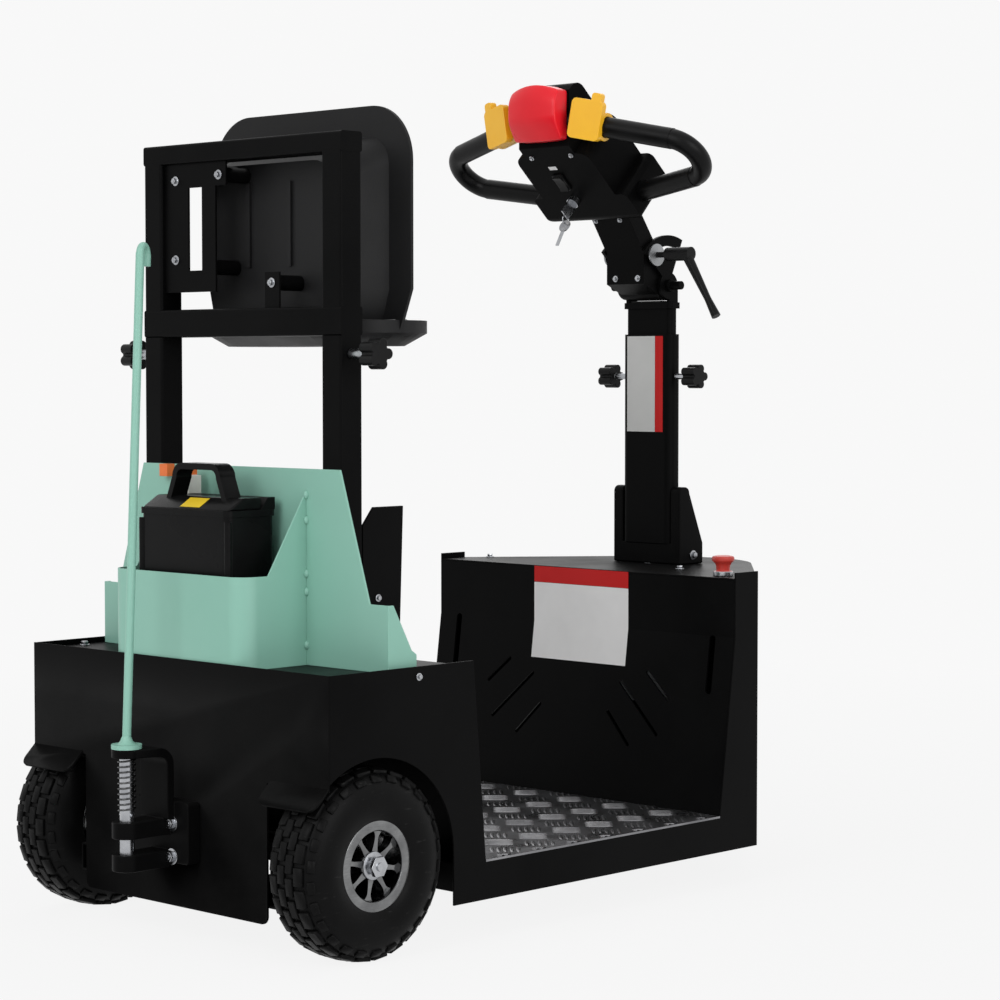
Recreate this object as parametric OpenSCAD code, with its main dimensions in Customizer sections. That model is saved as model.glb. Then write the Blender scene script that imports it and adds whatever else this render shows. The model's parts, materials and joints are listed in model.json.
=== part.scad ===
// Electric tow tractor: a three-wheeled ride-on tug with a folded sheet body,
// a lift-out battery, a perch seat on two posts, a tiller and a sprung tow pin.
// X points forward, Y to the left and Z up, and the origin is on the floor
// under the middle of the machine. Stations along X are measured from the back
// face of the rear panel.

/* [Body] */
// Width over the two side frames
body_w = 640; // [560:1:760]
// Height of the rear body's top edge
body_top = 393; // [370:1:430]
// Thickness of the folded sheet
sheet = 3; // [2:0.5:5]
// Drop of the standing deck below the rear wheels' centres
deck_drop = 18; // [16:0.5:24]
// Thickness of the chequered deck plate
deck_t = 3; // [2:0.5:5]
// Height of the sills' lower edge
sill_z = 57; // [45:1:65]
// Station of the rear body's front wall at its top
wall_top_x = 272; // [262:1:290]
// Station of the rear body's front wall at the deck
wall_foot_x = 296; // [285:1:330]
// Station of the bulkhead at the deck
bulk_foot_x = 807; // [760:1:830]
// Station of the bulkhead's upright part
bulk_x = 842; // [832:1:870]
// Height of the bulkhead's bend
bulk_bend_z = 383; // [340:1:420]
// Height of the top plate under the column
top_z = 474; // [450:1:520]
// Station of the side frames' front edge
front_x = 897; // [880:1:930]
// Width of the rear panel's skirt between the wheels
skirt_w = 396; // [360:1:420]
// Height of the skirt's lower edge
skirt_z = 47; // [40:1:60]

/* [Nose] */
// Station of the steering axis
steer_x = 1015; // [1000:1:1060]
// Radius of the round nose about the steering axis
nose_r = 165; // [150:1:180]
// Height of the nose's lower edge
nose_z = 60; // [45:1:90]

/* [Wheels] */
// Station of the rear wheels
wheel_x = 88; // [80:1:110]
// Distance between the rear wheels' middles
track = 560; // [530:1:580]
// Diameter over the rear tyres' lugs
tyre_d = 262; // [250:1:280]
// Width of a rear tyre
tyre_w = 92; // [80:1:100]
// Diameter of a rear rim's flange
rim_d = 124; // [110:1:140]
// Diameter of the drive wheel
drive_d = 230; // [200:1:250]
// Width of the drive wheel
drive_w = 70; // [60:1:80]
// Side of the square rear axle bar
axle_bar = 30; // [24:1:34]
// Diameter of the rear stub axles
stub_d = 20; // [16:1:24]

/* [Battery] */
// Width of the battery box
box_w = 288; // [260:1:310]
// Height of the box's rear wall
box_rear_z = 512; // [480:1:540]
// Height of the box's side walls where they meet the back plate
box_side_z = 626; // [590:1:645]
// Station of the back plate's front face
plate_x = 124; // [118:1:140]
// Height of the back plate
plate_z = 657; // [640:1:700]
// Height of the back plate's shoulders
shoulder_z = 477; // [450:1:500]
// Width of the back plate at its top
plate_top_w = 426; // [400:1:440]
// Width of the battery
battery_w = 190; // [170:1:210]
// Height of the battery's lower lid edge above the floor
battery_z = 591; // [560:1:600]

/* [Seat] */
// Side of the square seat posts
post = 40; // [36:1:50]
// Wall of the seat posts
post_wall = 2.5; // [2:0.25:4]
// Distance of each post from the middle
post_y = 192.5; // [180:0.5:200]
// Height of the seat posts
post_z = 840; // [780:1:900]
// Height of the seat frame above the posts
frame_h = 278; // [250:1:320]
// Height of the seat back above the posts
back_h = 325; // [300:1:360]
// Width of the seat back
back_w = 422; // [400:1:460]
// Reach of the perch ahead of the seat frame
perch_reach = 205; // [190:1:260]

/* [Column] */
// Width of the outer column tube
column_w = 104; // [90:1:120]
// Depth of the outer column tube
column_d = 30; // [26:1:40]
// Wall of the column tubes
column_wall = 4; // [3:0.5:5]
// Height of the outer tube's top
column_z = 851; // [820:1:865]
// Height of the tilt pin
tilt_z = 930; // [920:1:950]
// Diameter of the tilt pin
tilt_d = 14; // [10:0.5:16]

/* [Tiller head] */
// Lean of the head back from upright, in degrees
head_lean = 47.8; // [40:0.1:55]
// Length of the head's housing
head_l = 246; // [230:1:260]
// Depth of the head's housing
head_t = 92; // [80:1:100]
// Width of the head's housing
head_w = 156; // [140:1:170]
// Diameter of the handle loops' tube
loop_d = 31; // [26:0.5:34]
// Reach of the loops' middle line from the middle
loop_y = 254; // [235:1:280]
// Radius of the loops' end bend
loop_r = 42; // [34:1:50]

/* [Hitch] */
// Distance of the tow pin behind the rear panel
pin_back = 81; // [70:1:100]
// Diameter of the tow pin
pin_d = 20; // [16:0.5:24]
// Diameter of the hitch lugs
lug_d = 42; // [36:1:50]
// Height of the lower lug's underside
hitch_z = 107; // [95:1:120]
// Clear height of the jaw
jaw_h = 22; // [18:1:28]
// Height of the top lug's underside
top_lug_z = 263; // [250:1:290]
// Height of the pull rod's top
rod_z = 969; // [900:1:1000]

/* [Hidden] */
$fn = 72;

// Clearances, and the overrun of every cut
fit = 0.3;
slide_fit = 0.5;
cut = 1;

// Colours
black = "#1c1d1f";
mint = "#83b5a3";
silver = "#b9bcbe";
zinc = "#c9ccd0";
rubber = "#2a2a2b";
red = "#e0252f";
yellow = "#f3ae22";
ivory = "#e9e7e1";

// Heights and faces that pieces share
axle_z = tyre_d / 2;
deck_z = axle_z - deck_drop;
rail_top = deck_z - deck_t;
inner_half = body_w / 2 - sheet;
hitch_back = pin_back + lug_d / 2;
nose_front = steer_x + nose_r;
rear_x = (hitch_back - nose_front) / 2;

// Rear body
lip_h = 8;
rear_deck_z = body_top - lip_h;
arch_gap = 14;
arch_r = tyre_d / 2 + arch_gap;
tab_gap = 7;
tab_z = axle_z + sqrt(pow(tyre_d / 2 + tab_gap, 2) - pow(wheel_x - sheet, 2));
tab_angle = 45;
tab_l = 36;
tab_r = 16;
tab_side_gap = 7;
skirt_r = 12;
flange_rise = 9;

// Frame under the deck
rail = 40;
rail_wall = 3;
cross_n = 4;
axle_pad_l = 60;

// Round ends are this much fuller than the slot they close, so that the outlines cross
ease = 0.05;
// Bulkhead slots: distance from the middle and height of both ends, then width
keyhole_in = 42;
keyhole_y = inner_half - keyhole_in;
keyhole_z = [300, 378];
keyhole_w = 12;
vent_w = 6;
vent_slots = [[150, 318, 194, 280], [96, 298, 178, 223], [74, 250, 121, 202]];

// Nose plan: the side lines are tangent to the round front
nose_lap = 25;
nose_p = [front_x, inner_half];
nose_run = [steer_x - front_x, -inner_half];
nose_turn = atan2(nose_run.y, nose_run.x) + asin(nose_r / norm(nose_run)) + 90;
nose_n = [cos(nose_turn), sin(nose_turn)];

// Steering head
spindle_d = 24;
bearing_d = 80;
bearing_h = 66;
motor_d = 130;
motor_h = 128;
fork_gap = 6;
fork_t = 8;
fork_w = 60;
crown_h = 16;
drive_axle_d = 20;
drive_rim_d = 150;
drive_top = drive_d + fork_gap;

// Rear wheels
tyre_round = 26;
rim_w = 80;
rim_wall = 6;
rim_lip = 8;
hub_d = 40;
hub_in = 34;
hub_out = 38;
petal_n = 8;
petal_mid = 36;
petal_r = 11;
petal_foot = 25;
petal_foot_r = 5.6;
face_t = 14;
face_in = 5;
nut_d = 30;
nut_h = 7;

// Battery box and back plate
box_t = 2.5;
box_r = 30;
box_x = sheet;
box_slope_l = 48;
plate_t = sheet;
plate_back_x = plate_x - plate_t;
plate_in = 9;
plate_half = inner_half - plate_in;
waist_half = 271;
flange_l = 50;
flange_top_l = 7;
flange_low_z = 408;
flange_toe_l = 9;

// Battery
battery_floor = rear_deck_z + box_t;
battery_x = 21;
battery_l = 86;
battery_r = 10;
lid_h = 9;
lid_over = 2;
rise_h = 26;
rise_l = 26;
handle_half = 70;
handle_top_half = 52;
handle_t = 9;
handle_d = 28;
handle_z = 663;
handle_r = 20;
handle_x = 58;
plug_l = 23;
plug_w = 32;
plug_h = 26;
plug_y = 80;
plug_step = 4;
plug_cap_h = 10;
socket_l = 14;
socket_w = 18;
socket_h = 18;
socket_y = 150;

// Seat posts, gussets and knobs
post_x = plate_x;
post_r = 4;
gusset_t = 5;
gusset_foot_l = 69;
gusset_top_l = 77;
gusset_z = 604;
gusset_notch_l = 21;
gusset_notch_h = 26;
knob_drop = 25;
knob_d = 44;
knob_t = 24;
knob_out = 58.5;
sleeve_d = 16;
knob_lobes = 5;
lobe_share = 0.34;

// Seat
leg = post - 2 * post_wall - 2 * slide_fit;
leg_l = 200;
leg_r = 1.5;
weld_in = 0.4;
top_bar_h = 28;
frame_bar = post;
seat_plate_t = 3;
seat_plate_x = 8;
seat_plate_in = 60;
seat_plate_low = 25;
seat_plate_high = 210;
slot_in = 90;
slot_w = 30;
slot_low = 56;
slot_high = 175;
boss_d = 22;
boss_y = 74;
boss_low = 60;
boss_high = 195;
strap_half = 15;
strap_top_y = 52;
strap_top_l = 34;
strap_low_y = -62;
strap_low_l = 50;
strap_boss = 15;
shell_x = 59;
shell_t = 5;
shell_depth = 80;
shell_top_r = 80;
rim_band = 44;
dish_in = 78;
dish_sides = 32;
waist_share = 0.895;
waist_z = 66;
shell_foot = 10;
rib_y = 44;
rib_w = 8;
rib_t = 4;
rib_low = 100;
rib_high = 220;
pan_low = 13;
pan_h = 36;
pan_bowl_h = 18;
pan_bowl_in = 32;
pan_r = 100;
pan_w = 378;
pan_lip = 9;
pad_gap = 0.3;
back_pad_t = 38;
perch_pad_t = 28;

// Column
column_r = 12;
base_back = 13;
base_front = 47;
base_half = 72;
base_h = 34;
ear_h = 93;
ear_top_w = 26;
ear_top_r = 10;
column_knob_drop = 69;
column_knob_d = 40;
column_knob_t = 26;
column_knob_out = 51.5;
stud_d = 10;
inner_foot = 640;
band_low = 37;
band_h = 10;
band_out = 4;
ear_in = 41;
ear_t = 6;
tilt_back = 12;
tilt_half = 74;
pin_head_d = 20;
pin_head_t = 6;
ear_boss_r = 22;
ear_r = 82;
slot_r = 59;
slot_d = 11;
clamp_angle = 124;
slot_from = 78;
slot_to = 126;
ear_edge_angle = 12;

// Tilting arm
arm_half = 40;
arm_boss_r = 24;
arm_t = 32;
arm_back = 55;
arm_knee_z = 52;
arm_foot_z = 2;
arm_heel = [10, 18];
clamp_stud_d = 10;
washer_d = 36;
washer_t = 3;
clamp_hub_d = 22;
clamp_hub_h = 50;
clamp_end = 122;
clamp_drop = 101;
clamp_out = 52;
clamp_root_d = 17;
clamp_neck_d = 11;
clamp_tip_d = 15;
clamp_neck_share = 0.72;

// Tiller head, with its own axes: X out of its upper face, Z along its length
head_offset = 90;
head_rise = 122;
head_x = steer_x - head_offset;
head_z = tilt_z + head_rise;
head_foot = 14;
head_back = 48;
head_front = head_t - head_back;
head_r = 20;
neck_half = 54;
neck_l = 76;
root_half = 100;
root_low = 22;
root_high = 78;
loop_t = -15;
grip_t = 0.75;
grip_over = 3;
loop_slope = 16.7;
loop_hi = [neck_half, 208];
loop_lo = [80, 47];
reverse_half = 50;
reverse_x = 171;
reverse_t = 36;
reverse_low = 98;
reverse_h = 88;
reverse_r = 14;
lever_from = 9;
lever_l = 56;
lever_hub_d = 44;
lever_hub_in = 2;
lever_t = 12;
lever_out = 26;
lever_low = 24;
lever_high = 38;
lever_r = 8;
lever_tab_h = 12;
lever_tab_l = 22;
lever_tab_r = 5;
switch_w = 22;
switch_l = 34;
switch_h = 7;
switch_rim = 2.5;
switch_y = 12;
switch_s = 112;
lock_d = 20;
lock_h = 9;
lock_s = 72;
key_w = 20;
key_l = 26;
key_t = 2.4;

// Hitch
hitch_plate_w = 118;
hitch_plate_t = 22;
hitch_plate_h = 86;
hitch_plate_low = 6;
lug_t = 23;
strap_w = 60;
strap_t = 12;
strap_r = 25;
pin_fit = 0.4;
pin_tip = 6;
spring_wire = 2.4;
spring_od = 26;
spring_turns = 10;
spring_sides = 8;
spring_steps = 14;
cross_pin_d = 5;
cross_pin_l = 28;
flange_d = 42;
flange_t = 6;
rod_d = 12;
rod_lean = 29;
hook_r = 11;
hook_l = 16;
hook_turn = 28;
hook_d = 11;

// Emergency stop
stop_back = 22;
stop_in = 49;
stop_y = inner_half - stop_in;
stop_d = 36;
stop_collar_d = 30;
stop_h = 32;
stop_head_h = 15;

// Station of the front wall and of the bulkhead's back face at a height
function wall_x(z) = wall_top_x + (body_top - z) * (wall_foot_x - wall_top_x) / (body_top - deck_z);
function bulk_face(z) = bulk_foot_x + (z - deck_z) * (bulk_x - bulk_foot_x) / (bulk_bend_z - deck_z);

// Moves a piece from the rear panel's station to its place
module from_rear() {
    translate([rear_x, 0, 0]) children();
}

// A piece and its mirror image on the other side
module pair() {
    children();
    mirror([0, 1, 0]) children();
}

// An outline in Y and Z, extruded along X
module along_x(x0, x1) {
    translate([x0, 0, 0]) rotate([90, 0, 90]) linear_extrude(x1 - x0) children();
}

// An outline in X and Z, extruded along Y
module along_y(y0, y1) {
    translate([0, y1, 0]) rotate([90, 0, 0]) linear_extrude(y1 - y0) children();
}

// An outline in X and Y, extruded along Z
module along_z(z0, z1) {
    translate([0, 0, z0]) linear_extrude(z1 - z0) children();
}

// A rectangle about the origin with round corners
module rounded_rect(w, h, r) {
    square([w - 2 * r, h], center = true);
    square([w, h - 2 * r], center = true);
    for (x = [-1, 1], y = [-1, 1]) translate([x * (w / 2 - r), y * (h / 2 - r)]) circle(r = r);
}

// A rectangle from one corner to the other with round corners
module rounded_box(p, q, r) {
    translate([(p.x + q.x) / 2, (p.y + q.y) / 2]) rounded_rect(q.x - p.x, q.y - p.y, r);
}

// A slot of width w between two points
module slot_between(p, q, w) {
    run = q - p;
    translate(p) rotate(atan2(run.y, run.x)) translate([0, -w / 2]) square([norm(run), w]);
    for (end = [p, q]) translate(end) circle(d = w + 2 * ease);
}

// A round rod between two points in the YZ plane
module rod_yz(p, q, d) {
    run = q - p;
    translate([0, p.x, p.y]) rotate([atan2(run.y, run.x) - 90, 0, 0]) cylinder(h = norm(run), d = d);
}

// A cylinder along Y
module round_y(y0, y1, d) {
    translate([0, y0, 0]) rotate([-90, 0, 0]) cylinder(h = y1 - y0, d = d);
}

// A lobed knob standing on Z
module star_knob(d, h) {
    lobe = d * lobe_share / 2;
    linear_extrude(h) {
        circle(d = d - 2 * lobe);
        for (i = [0:knob_lobes - 1]) rotate(i * 360 / knob_lobes) translate([d / 2 - lobe, 0]) circle(r = lobe);
    }
}

// A square tube along X from the origin, centred on Y and hanging below Z
module tube_x(l) {
    difference() {
        translate([0, -rail / 2, -rail]) cube([l, rail, rail]);
        translate([-cut, -rail / 2 + rail_wall, -rail + rail_wall])
            cube([l + 2 * cut, rail - 2 * rail_wall, rail - 2 * rail_wall]);
    }
}

// Folded rear panel with its skirt between the wheels and a tab over each tyre
module rear_panel() {
    color(black) from_rear() {
        along_x(0, sheet) {
            translate([-body_w / 2, tab_z]) square([body_w, body_top - tab_z]);
            translate([-skirt_w / 2, skirt_z + skirt_r]) square([skirt_w, tab_z - skirt_z - skirt_r]);
            rounded_box([-skirt_w / 2, skirt_z], [skirt_w / 2, tab_z], skirt_r);
        }
        pair() translate([0, 0, tab_z]) rotate([0, tab_angle, 0]) along_x(-sheet, 0)
            {
                translate([skirt_w / 2 + tab_side_gap, -tab_l / 2])
                    square([body_w / 2 - skirt_w / 2 - tab_side_gap, tab_l / 2 + sheet]);
                rounded_box([skirt_w / 2 + tab_side_gap, -tab_l], [body_w / 2, sheet], tab_r);
            }
    }
}

// Outline of a side frame: rear side, sill and front flange in one sheet
module side_outline() {
    difference() {
        polygon([[sheet, body_top], [wall_top_x, body_top], [wall_x(rail_top), rail_top],
            [bulk_face(rail_top), rail_top], [bulk_x, bulk_bend_z], [bulk_x, top_z + flange_rise], [front_x, top_z + flange_rise],
            [front_x, sill_z], [sheet, sill_z]]);
        translate([wheel_x, axle_z]) circle(r = arch_r);
        square([wheel_x + arch_r, axle_z]);
    }
}

module side_frame_left() {
    color(black) from_rear() along_y(inner_half, body_w / 2) side_outline();
}

module side_frame_right() {
    color(black) from_rear() along_y(-body_w / 2, -inner_half) side_outline();
}

// Top sheet of the rear body, with a hole for each seat post
module rear_deck() {
    color(black) from_rear() along_z(rear_deck_z - sheet, rear_deck_z) difference() {
        translate([sheet, -inner_half]) square([wall_x(rear_deck_z) - sheet, 2 * inner_half]);
        for (side = [-1, 1]) translate([post_x + post / 2, side * post_y])
            rounded_rect(post + 2 * fit, post + 2 * fit, post_r);
    }
}

// Sloping front wall of the rear body
module rear_wall() {
    top = rear_deck_z - sheet;
    color(black) from_rear() along_y(-inner_half, inner_half)
        polygon([[wall_x(top) - sheet, top], [wall_x(top), top], [wall_x(rail_top), rail_top],
            [wall_x(rail_top) - sheet, rail_top]]);
}

// Two rails and their cross members, with outriggers to the sills
module chassis_frame() {
    first = wall_foot_x - rail / 2;
    last = bulk_foot_x - rail / 2;
    rail_in = post_y - rail / 2;
    rail_out = post_y + rail / 2;
    color(black) from_rear() {
        for (side = [-1, 1]) translate([sheet, side * post_y, rail_top]) tube_x(front_x - 2 * sheet);
        for (i = [0:cross_n - 1]) translate([first + i * (last - first) / (cross_n - 1), 0, rail_top]) {
            translate([0, -rail_in, 0]) rotate([0, 0, 90]) tube_x(2 * rail_in);
            pair() translate([0, rail_out, 0]) rotate([0, 0, 90]) tube_x(inner_half - rail_out);
        }
    }
}

// Square axle bar on pads over the rails, with a stub and nut for each wheel
module rear_axle() {
    hub_face = track / 2 + hub_out;
    bar_half = track / 2 - hub_in - slide_fit;
    color(black) from_rear() translate([wheel_x, 0, axle_z]) {
        translate([-axle_bar / 2, -bar_half, -axle_bar / 2]) cube([axle_bar, 2 * bar_half, axle_bar]);
        for (side = [-1, 1]) translate([-axle_pad_l / 2, side * post_y - rail / 2, rail_top - axle_z])
            cube([axle_pad_l, rail, axle_z - rail_top - axle_bar / 2]);
        pair() {
            round_y(0, hub_face + slide_fit + nut_h, stub_d);
            translate([0, hub_face + slide_fit, 0]) rotate([-90, 0, 0]) cylinder(h = nut_h, d = nut_d, $fn = 6);
        }
    }
}

// Chequered plate that the driver stands on
module deck_plate() {
    color(silver) from_rear() along_z(rail_top, deck_z)
        translate([wall_x(rail_top), -body_w / 2]) square([bulk_face(rail_top) - wall_x(rail_top), body_w]);
}

// Bent front bulkhead with its keyholes and vent slots
module bulkhead() {
    top = top_z - sheet;
    color(black) from_rear() difference() {
        along_y(-inner_half, inner_half)
            polygon([[bulk_face(rail_top), rail_top], [bulk_x, bulk_bend_z], [bulk_x, top], [bulk_x + sheet, top],
                [bulk_x + sheet, bulk_bend_z], [bulk_face(rail_top) + sheet, rail_top]]);
        pair() along_x(bulk_foot_x - cut, bulk_x + sheet + cut) {
            slot_between([keyhole_y, keyhole_z[0]], [keyhole_y, keyhole_z[1]], keyhole_w);
            for (s = vent_slots) slot_between([s[0], s[1]], [s[2], s[3]], vent_w);
        }
    }
}

// Plan of the nose, drawn in from its outer face by a wall
module nose_plan(wall) {
    r = nose_r - wall;
    y = nose_p.y - wall / nose_n.y;
    intersection() {
        translate([steer_x, 0]) circle(r = r);
        translate([steer_x, -r]) square([r, 2 * r]);
    }
    polygon([[front_x, -y], [steer_x + r * nose_n.x, -r * nose_n.y], [steer_x + r * nose_n.x, r * nose_n.y],
        [front_x, y]]);
}

// Plate under the column, with the steering bearing welded below it
module top_plate() {
    color(black) from_rear() difference() {
        union() {
            along_z(top_z - sheet, top_z) {
                translate([bulk_x, -inner_half]) square([front_x - bulk_x, 2 * inner_half]);
                nose_plan(0);
            }
            translate([steer_x, 0, top_z - sheet - bearing_h]) cylinder(h = bearing_h, d = bearing_d);
        }
        translate([steer_x, 0, top_z - sheet - bearing_h - cut])
            cylinder(h = bearing_h + sheet + 2 * cut, d = spindle_d + 2 * fit);
    }
}

// Folded cover round the drive wheel, lapped inside the side frames
module nose_cover() {
    color(black) from_rear() along_z(nose_z, top_z - sheet) {
        difference() {
            nose_plan(0);
            nose_plan(sheet);
            translate([front_x - cut, -nose_p.y + sheet / nose_n.y])
                square([2 * cut, 2 * (nose_p.y - sheet / nose_n.y)]);
        }
        for (side = [-1, 1]) translate([front_x - nose_lap, side > 0 ? inner_half - sheet : -inner_half])
            square([nose_lap, sheet]);
    }
}

// Plan of the battery box with round back corners, drawn in by a wall
module box_plan(wall, front) {
    half = box_w / 2 - wall;
    r = box_r - wall;
    x = box_x + wall;
    translate([x, -half + r]) square([front - x, 2 * (half - r)]);
    translate([x + r, -half]) square([front - x - r, 2 * half]);
    for (side = [-1, 1]) translate([x + r, side * (half - r)]) circle(r = r);
}

// Battery box: floor, low rear wall and side walls that rise to the back plate
module battery_box() {
    color(mint) from_rear() difference() {
        along_z(rear_deck_z, box_side_z) box_plan(0, plate_back_x);
        along_z(battery_floor, box_side_z + cut) box_plan(box_t, plate_back_x + cut);
        along_y(-box_w, box_w) polygon([[box_x - cut, box_rear_z], [box_x + box_slope_l, box_rear_z],
            [plate_back_x, box_side_z], [plate_back_x, box_side_z + cut], [box_x - cut, box_side_z + cut]]);
    }
}

// Back plate behind the posts, folded forward at both sides
module back_plate() {
    color(mint) from_rear() {
        along_x(plate_back_x, plate_x)
            polygon([[-plate_half, rear_deck_z], [-plate_half, shoulder_z], [-waist_half, shoulder_z],
                [-plate_top_w / 2, plate_z], [plate_top_w / 2, plate_z], [waist_half, shoulder_z],
                [plate_half, shoulder_z], [plate_half, rear_deck_z]]);
        pair() along_y(plate_half - plate_t, plate_half)
            polygon([[plate_back_x, rear_deck_z], [plate_back_x, shoulder_z], [plate_x + flange_top_l, shoulder_z],
                [plate_x + flange_l - flange_toe_l, flange_low_z + (plate_t + flange_toe_l) / 2],
                [plate_x + flange_l, flange_low_z], [plate_x + flange_l, rear_deck_z]]);
    }
}

// Lift-out battery with a stepped lid and ribbed back corners
module battery() {
    front = battery_x + battery_l;
    color(rubber) from_rear() {
        along_z(battery_floor, battery_z)
            rounded_box([battery_x, -battery_w / 2], [front, battery_w / 2], battery_r);
        along_z(battery_z, battery_z + lid_h)
            rounded_box([battery_x - lid_over, -battery_w / 2 - lid_over],
                [front + lid_over, battery_w / 2 + lid_over], battery_r);
        along_y(-battery_w / 2, battery_w / 2)
            polygon([[front - rise_l, battery_z + lid_h], [front - rise_l / 2, battery_z + rise_h],
                [front, battery_z + rise_h], [front, battery_z + lid_h]]);
    }
}

// Strap handle over the battery's lid: two leaning legs, two bends and a top
module battery_handle() {
    base = battery_z + lid_h;
    turn_half = handle_top_half - handle_r;
    color(rubber) from_rear() along_x(handle_x - handle_d / 2, handle_x + handle_d / 2) difference() {
        union() {
            for (side = [-1, 1]) {
                slot_between([side * (handle_half - handle_t / 2), base],
                    [side * (handle_top_half - handle_t / 2), handle_z - handle_r], handle_t);
                translate([side * turn_half, handle_z - handle_r]) intersection() {
                    difference() {
                        circle(r = handle_r);
                        circle(r = handle_r - handle_t);
                    }
                    translate([side > 0 ? 0 : -handle_r, 0]) square(handle_r);
                }
            }
            translate([-turn_half - cut, handle_z - handle_t]) square([2 * (turn_half + cut), handle_t]);
        }
        translate([-2 * handle_half, base - handle_t]) square([2 * 2 * handle_half, handle_t]);
    }
}

// Plug on the lid's step and its socket on the back plate, both on the left
module battery_terminals() {
    front = battery_x + battery_l;
    step_z = battery_z + rise_h;
    color(ivory) from_rear() {
        translate([front - plug_l, plug_y - plug_w / 2, 0]) {
            along_z(step_z, step_z + plug_h) square([plug_l, plug_w]);
            along_z(step_z + plug_h, step_z + plug_h + plug_cap_h) translate([plug_step, plug_step])
                square([plug_l - 2 * plug_step, plug_w - 2 * plug_step]);
        }
        translate([plate_back_x - socket_l, socket_y - socket_w / 2, plate_z - socket_h])
            cube([socket_l, socket_w, socket_h]);
    }
}

// Square tube posts that stand on the rails
module seat_posts() {
    bore = post - 2 * post_wall;
    color(black) from_rear() for (side = [-1, 1]) translate([post_x + post / 2, side * post_y, 0])
        along_z(rail_top, post_z) difference() {
            rounded_rect(post, post, post_r);
            rounded_rect(bore, bore, post_r - post_wall);
        }
}

// Plates that brace the posts forward on the rear deck
module post_gussets() {
    foot = post_x + post;
    color(black) from_rear() pair() along_y(post_y + post / 2 - gusset_t, post_y + post / 2)
        polygon([[foot, rear_deck_z], [foot, gusset_z - gusset_notch_h], [foot + gusset_notch_l, gusset_z],
            [foot + gusset_top_l, gusset_z], [foot + gusset_foot_l, rear_deck_z]]);
}

// Clamping knobs on the outer sides of the posts
module seat_knobs() {
    color(black) from_rear() pair() translate([post_x + post / 2, post_y + post / 2, post_z - knob_drop])
        rotate([-90, 0, 0]) {
            cylinder(h = knob_out - knob_t, d = sleeve_d);
            translate([0, 0, knob_out - knob_t]) star_knob(knob_d, knob_t);
        }
}

// Tow bracket: base block, two jaw lugs and a bent strap with the top lug
module hitch_bracket() {
    jaw_z = hitch_z + lug_t;
    mid_z = jaw_z + jaw_h;
    strap_top = top_lug_z + strap_t;
    color(black) from_rear() difference() {
        union() {
            along_x(-hitch_plate_t, 0) rounded_box([-hitch_plate_w / 2, hitch_z + hitch_plate_low],
                [hitch_plate_w / 2, hitch_z + hitch_plate_low + hitch_plate_h], hitch_plate_low);
            for (z = [hitch_z, mid_z]) translate([0, 0, z]) linear_extrude(lug_t) {
                translate([-pin_back, 0]) circle(d = lug_d);
                translate([-pin_back, -lug_d / 2]) square([pin_back - hitch_plate_t, lug_d]);
            }
            along_z(top_lug_z, strap_top) {
                translate([-pin_back, 0]) circle(d = lug_d);
                polygon([[-pin_back, -lug_d / 2], [-hitch_plate_t - strap_r, -strap_w / 2],
                    [-hitch_plate_t - strap_r, strap_w / 2], [-pin_back, lug_d / 2]]);
            }
            translate([-hitch_plate_t - strap_r, 0, strap_top - strap_r]) intersection() {
                difference() {
                    round_y(-strap_w / 2, strap_w / 2, 2 * strap_r);
                    round_y(-strap_w / 2 - cut, strap_w / 2 + cut, 2 * (strap_r - strap_t));
                }
                translate([0, -strap_w, 0]) cube([strap_r, 2 * strap_w, strap_r]);
            }
            translate([-hitch_plate_t - strap_t, -strap_w / 2, hitch_z + hitch_plate_h])
                cube([strap_t, strap_w, strap_top - strap_r - hitch_z - hitch_plate_h]);
            translate([-hitch_plate_t - strap_t, -strap_w / 2, mid_z + lug_t])
                cube([strap_t, strap_w, hitch_z + hitch_plate_h - mid_z - lug_t + cut]);
        }
        translate([-pin_back, 0, hitch_z - cut])
            cylinder(h = strap_top - hitch_z + 2 * cut, d = pin_d + 2 * pin_fit);
    }
}

// Mushroom button on its collar
module emergency_stop() {
    color(red) from_rear() translate([front_x - stop_back, -stop_y, top_z]) {
        cylinder(h = stop_h - stop_head_h, d = stop_collar_d);
        translate([0, 0, stop_h - stop_head_h]) rotate_extrude() intersection() {
            translate([0, stop_head_h - stop_d]) circle(r = stop_d);
            square([stop_d / 2, stop_head_h]);
        }
    }
}

// Square frame behind the seat, with legs that slide in the posts
module seat_frame() {
    out = post_y + post / 2;
    color(black) from_rear() translate([post_x, 0, post_z]) {
        along_y(-out, out) {
            rounded_box([0, 0], [post, frame_bar], post_r);
            rounded_box([0, frame_h - top_bar_h], [post, frame_h], post_r);
        }
        for (side = [-1, 1]) translate([post / 2, side * post_y, 0]) {
            along_z(frame_bar / 2, frame_h - top_bar_h / 2) rounded_rect(post - 2 * weld_in, post - 2 * weld_in, post_r);
            along_z(-leg_l, frame_bar / 2) rounded_rect(leg, leg, leg_r);
        }
    }
}

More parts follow.
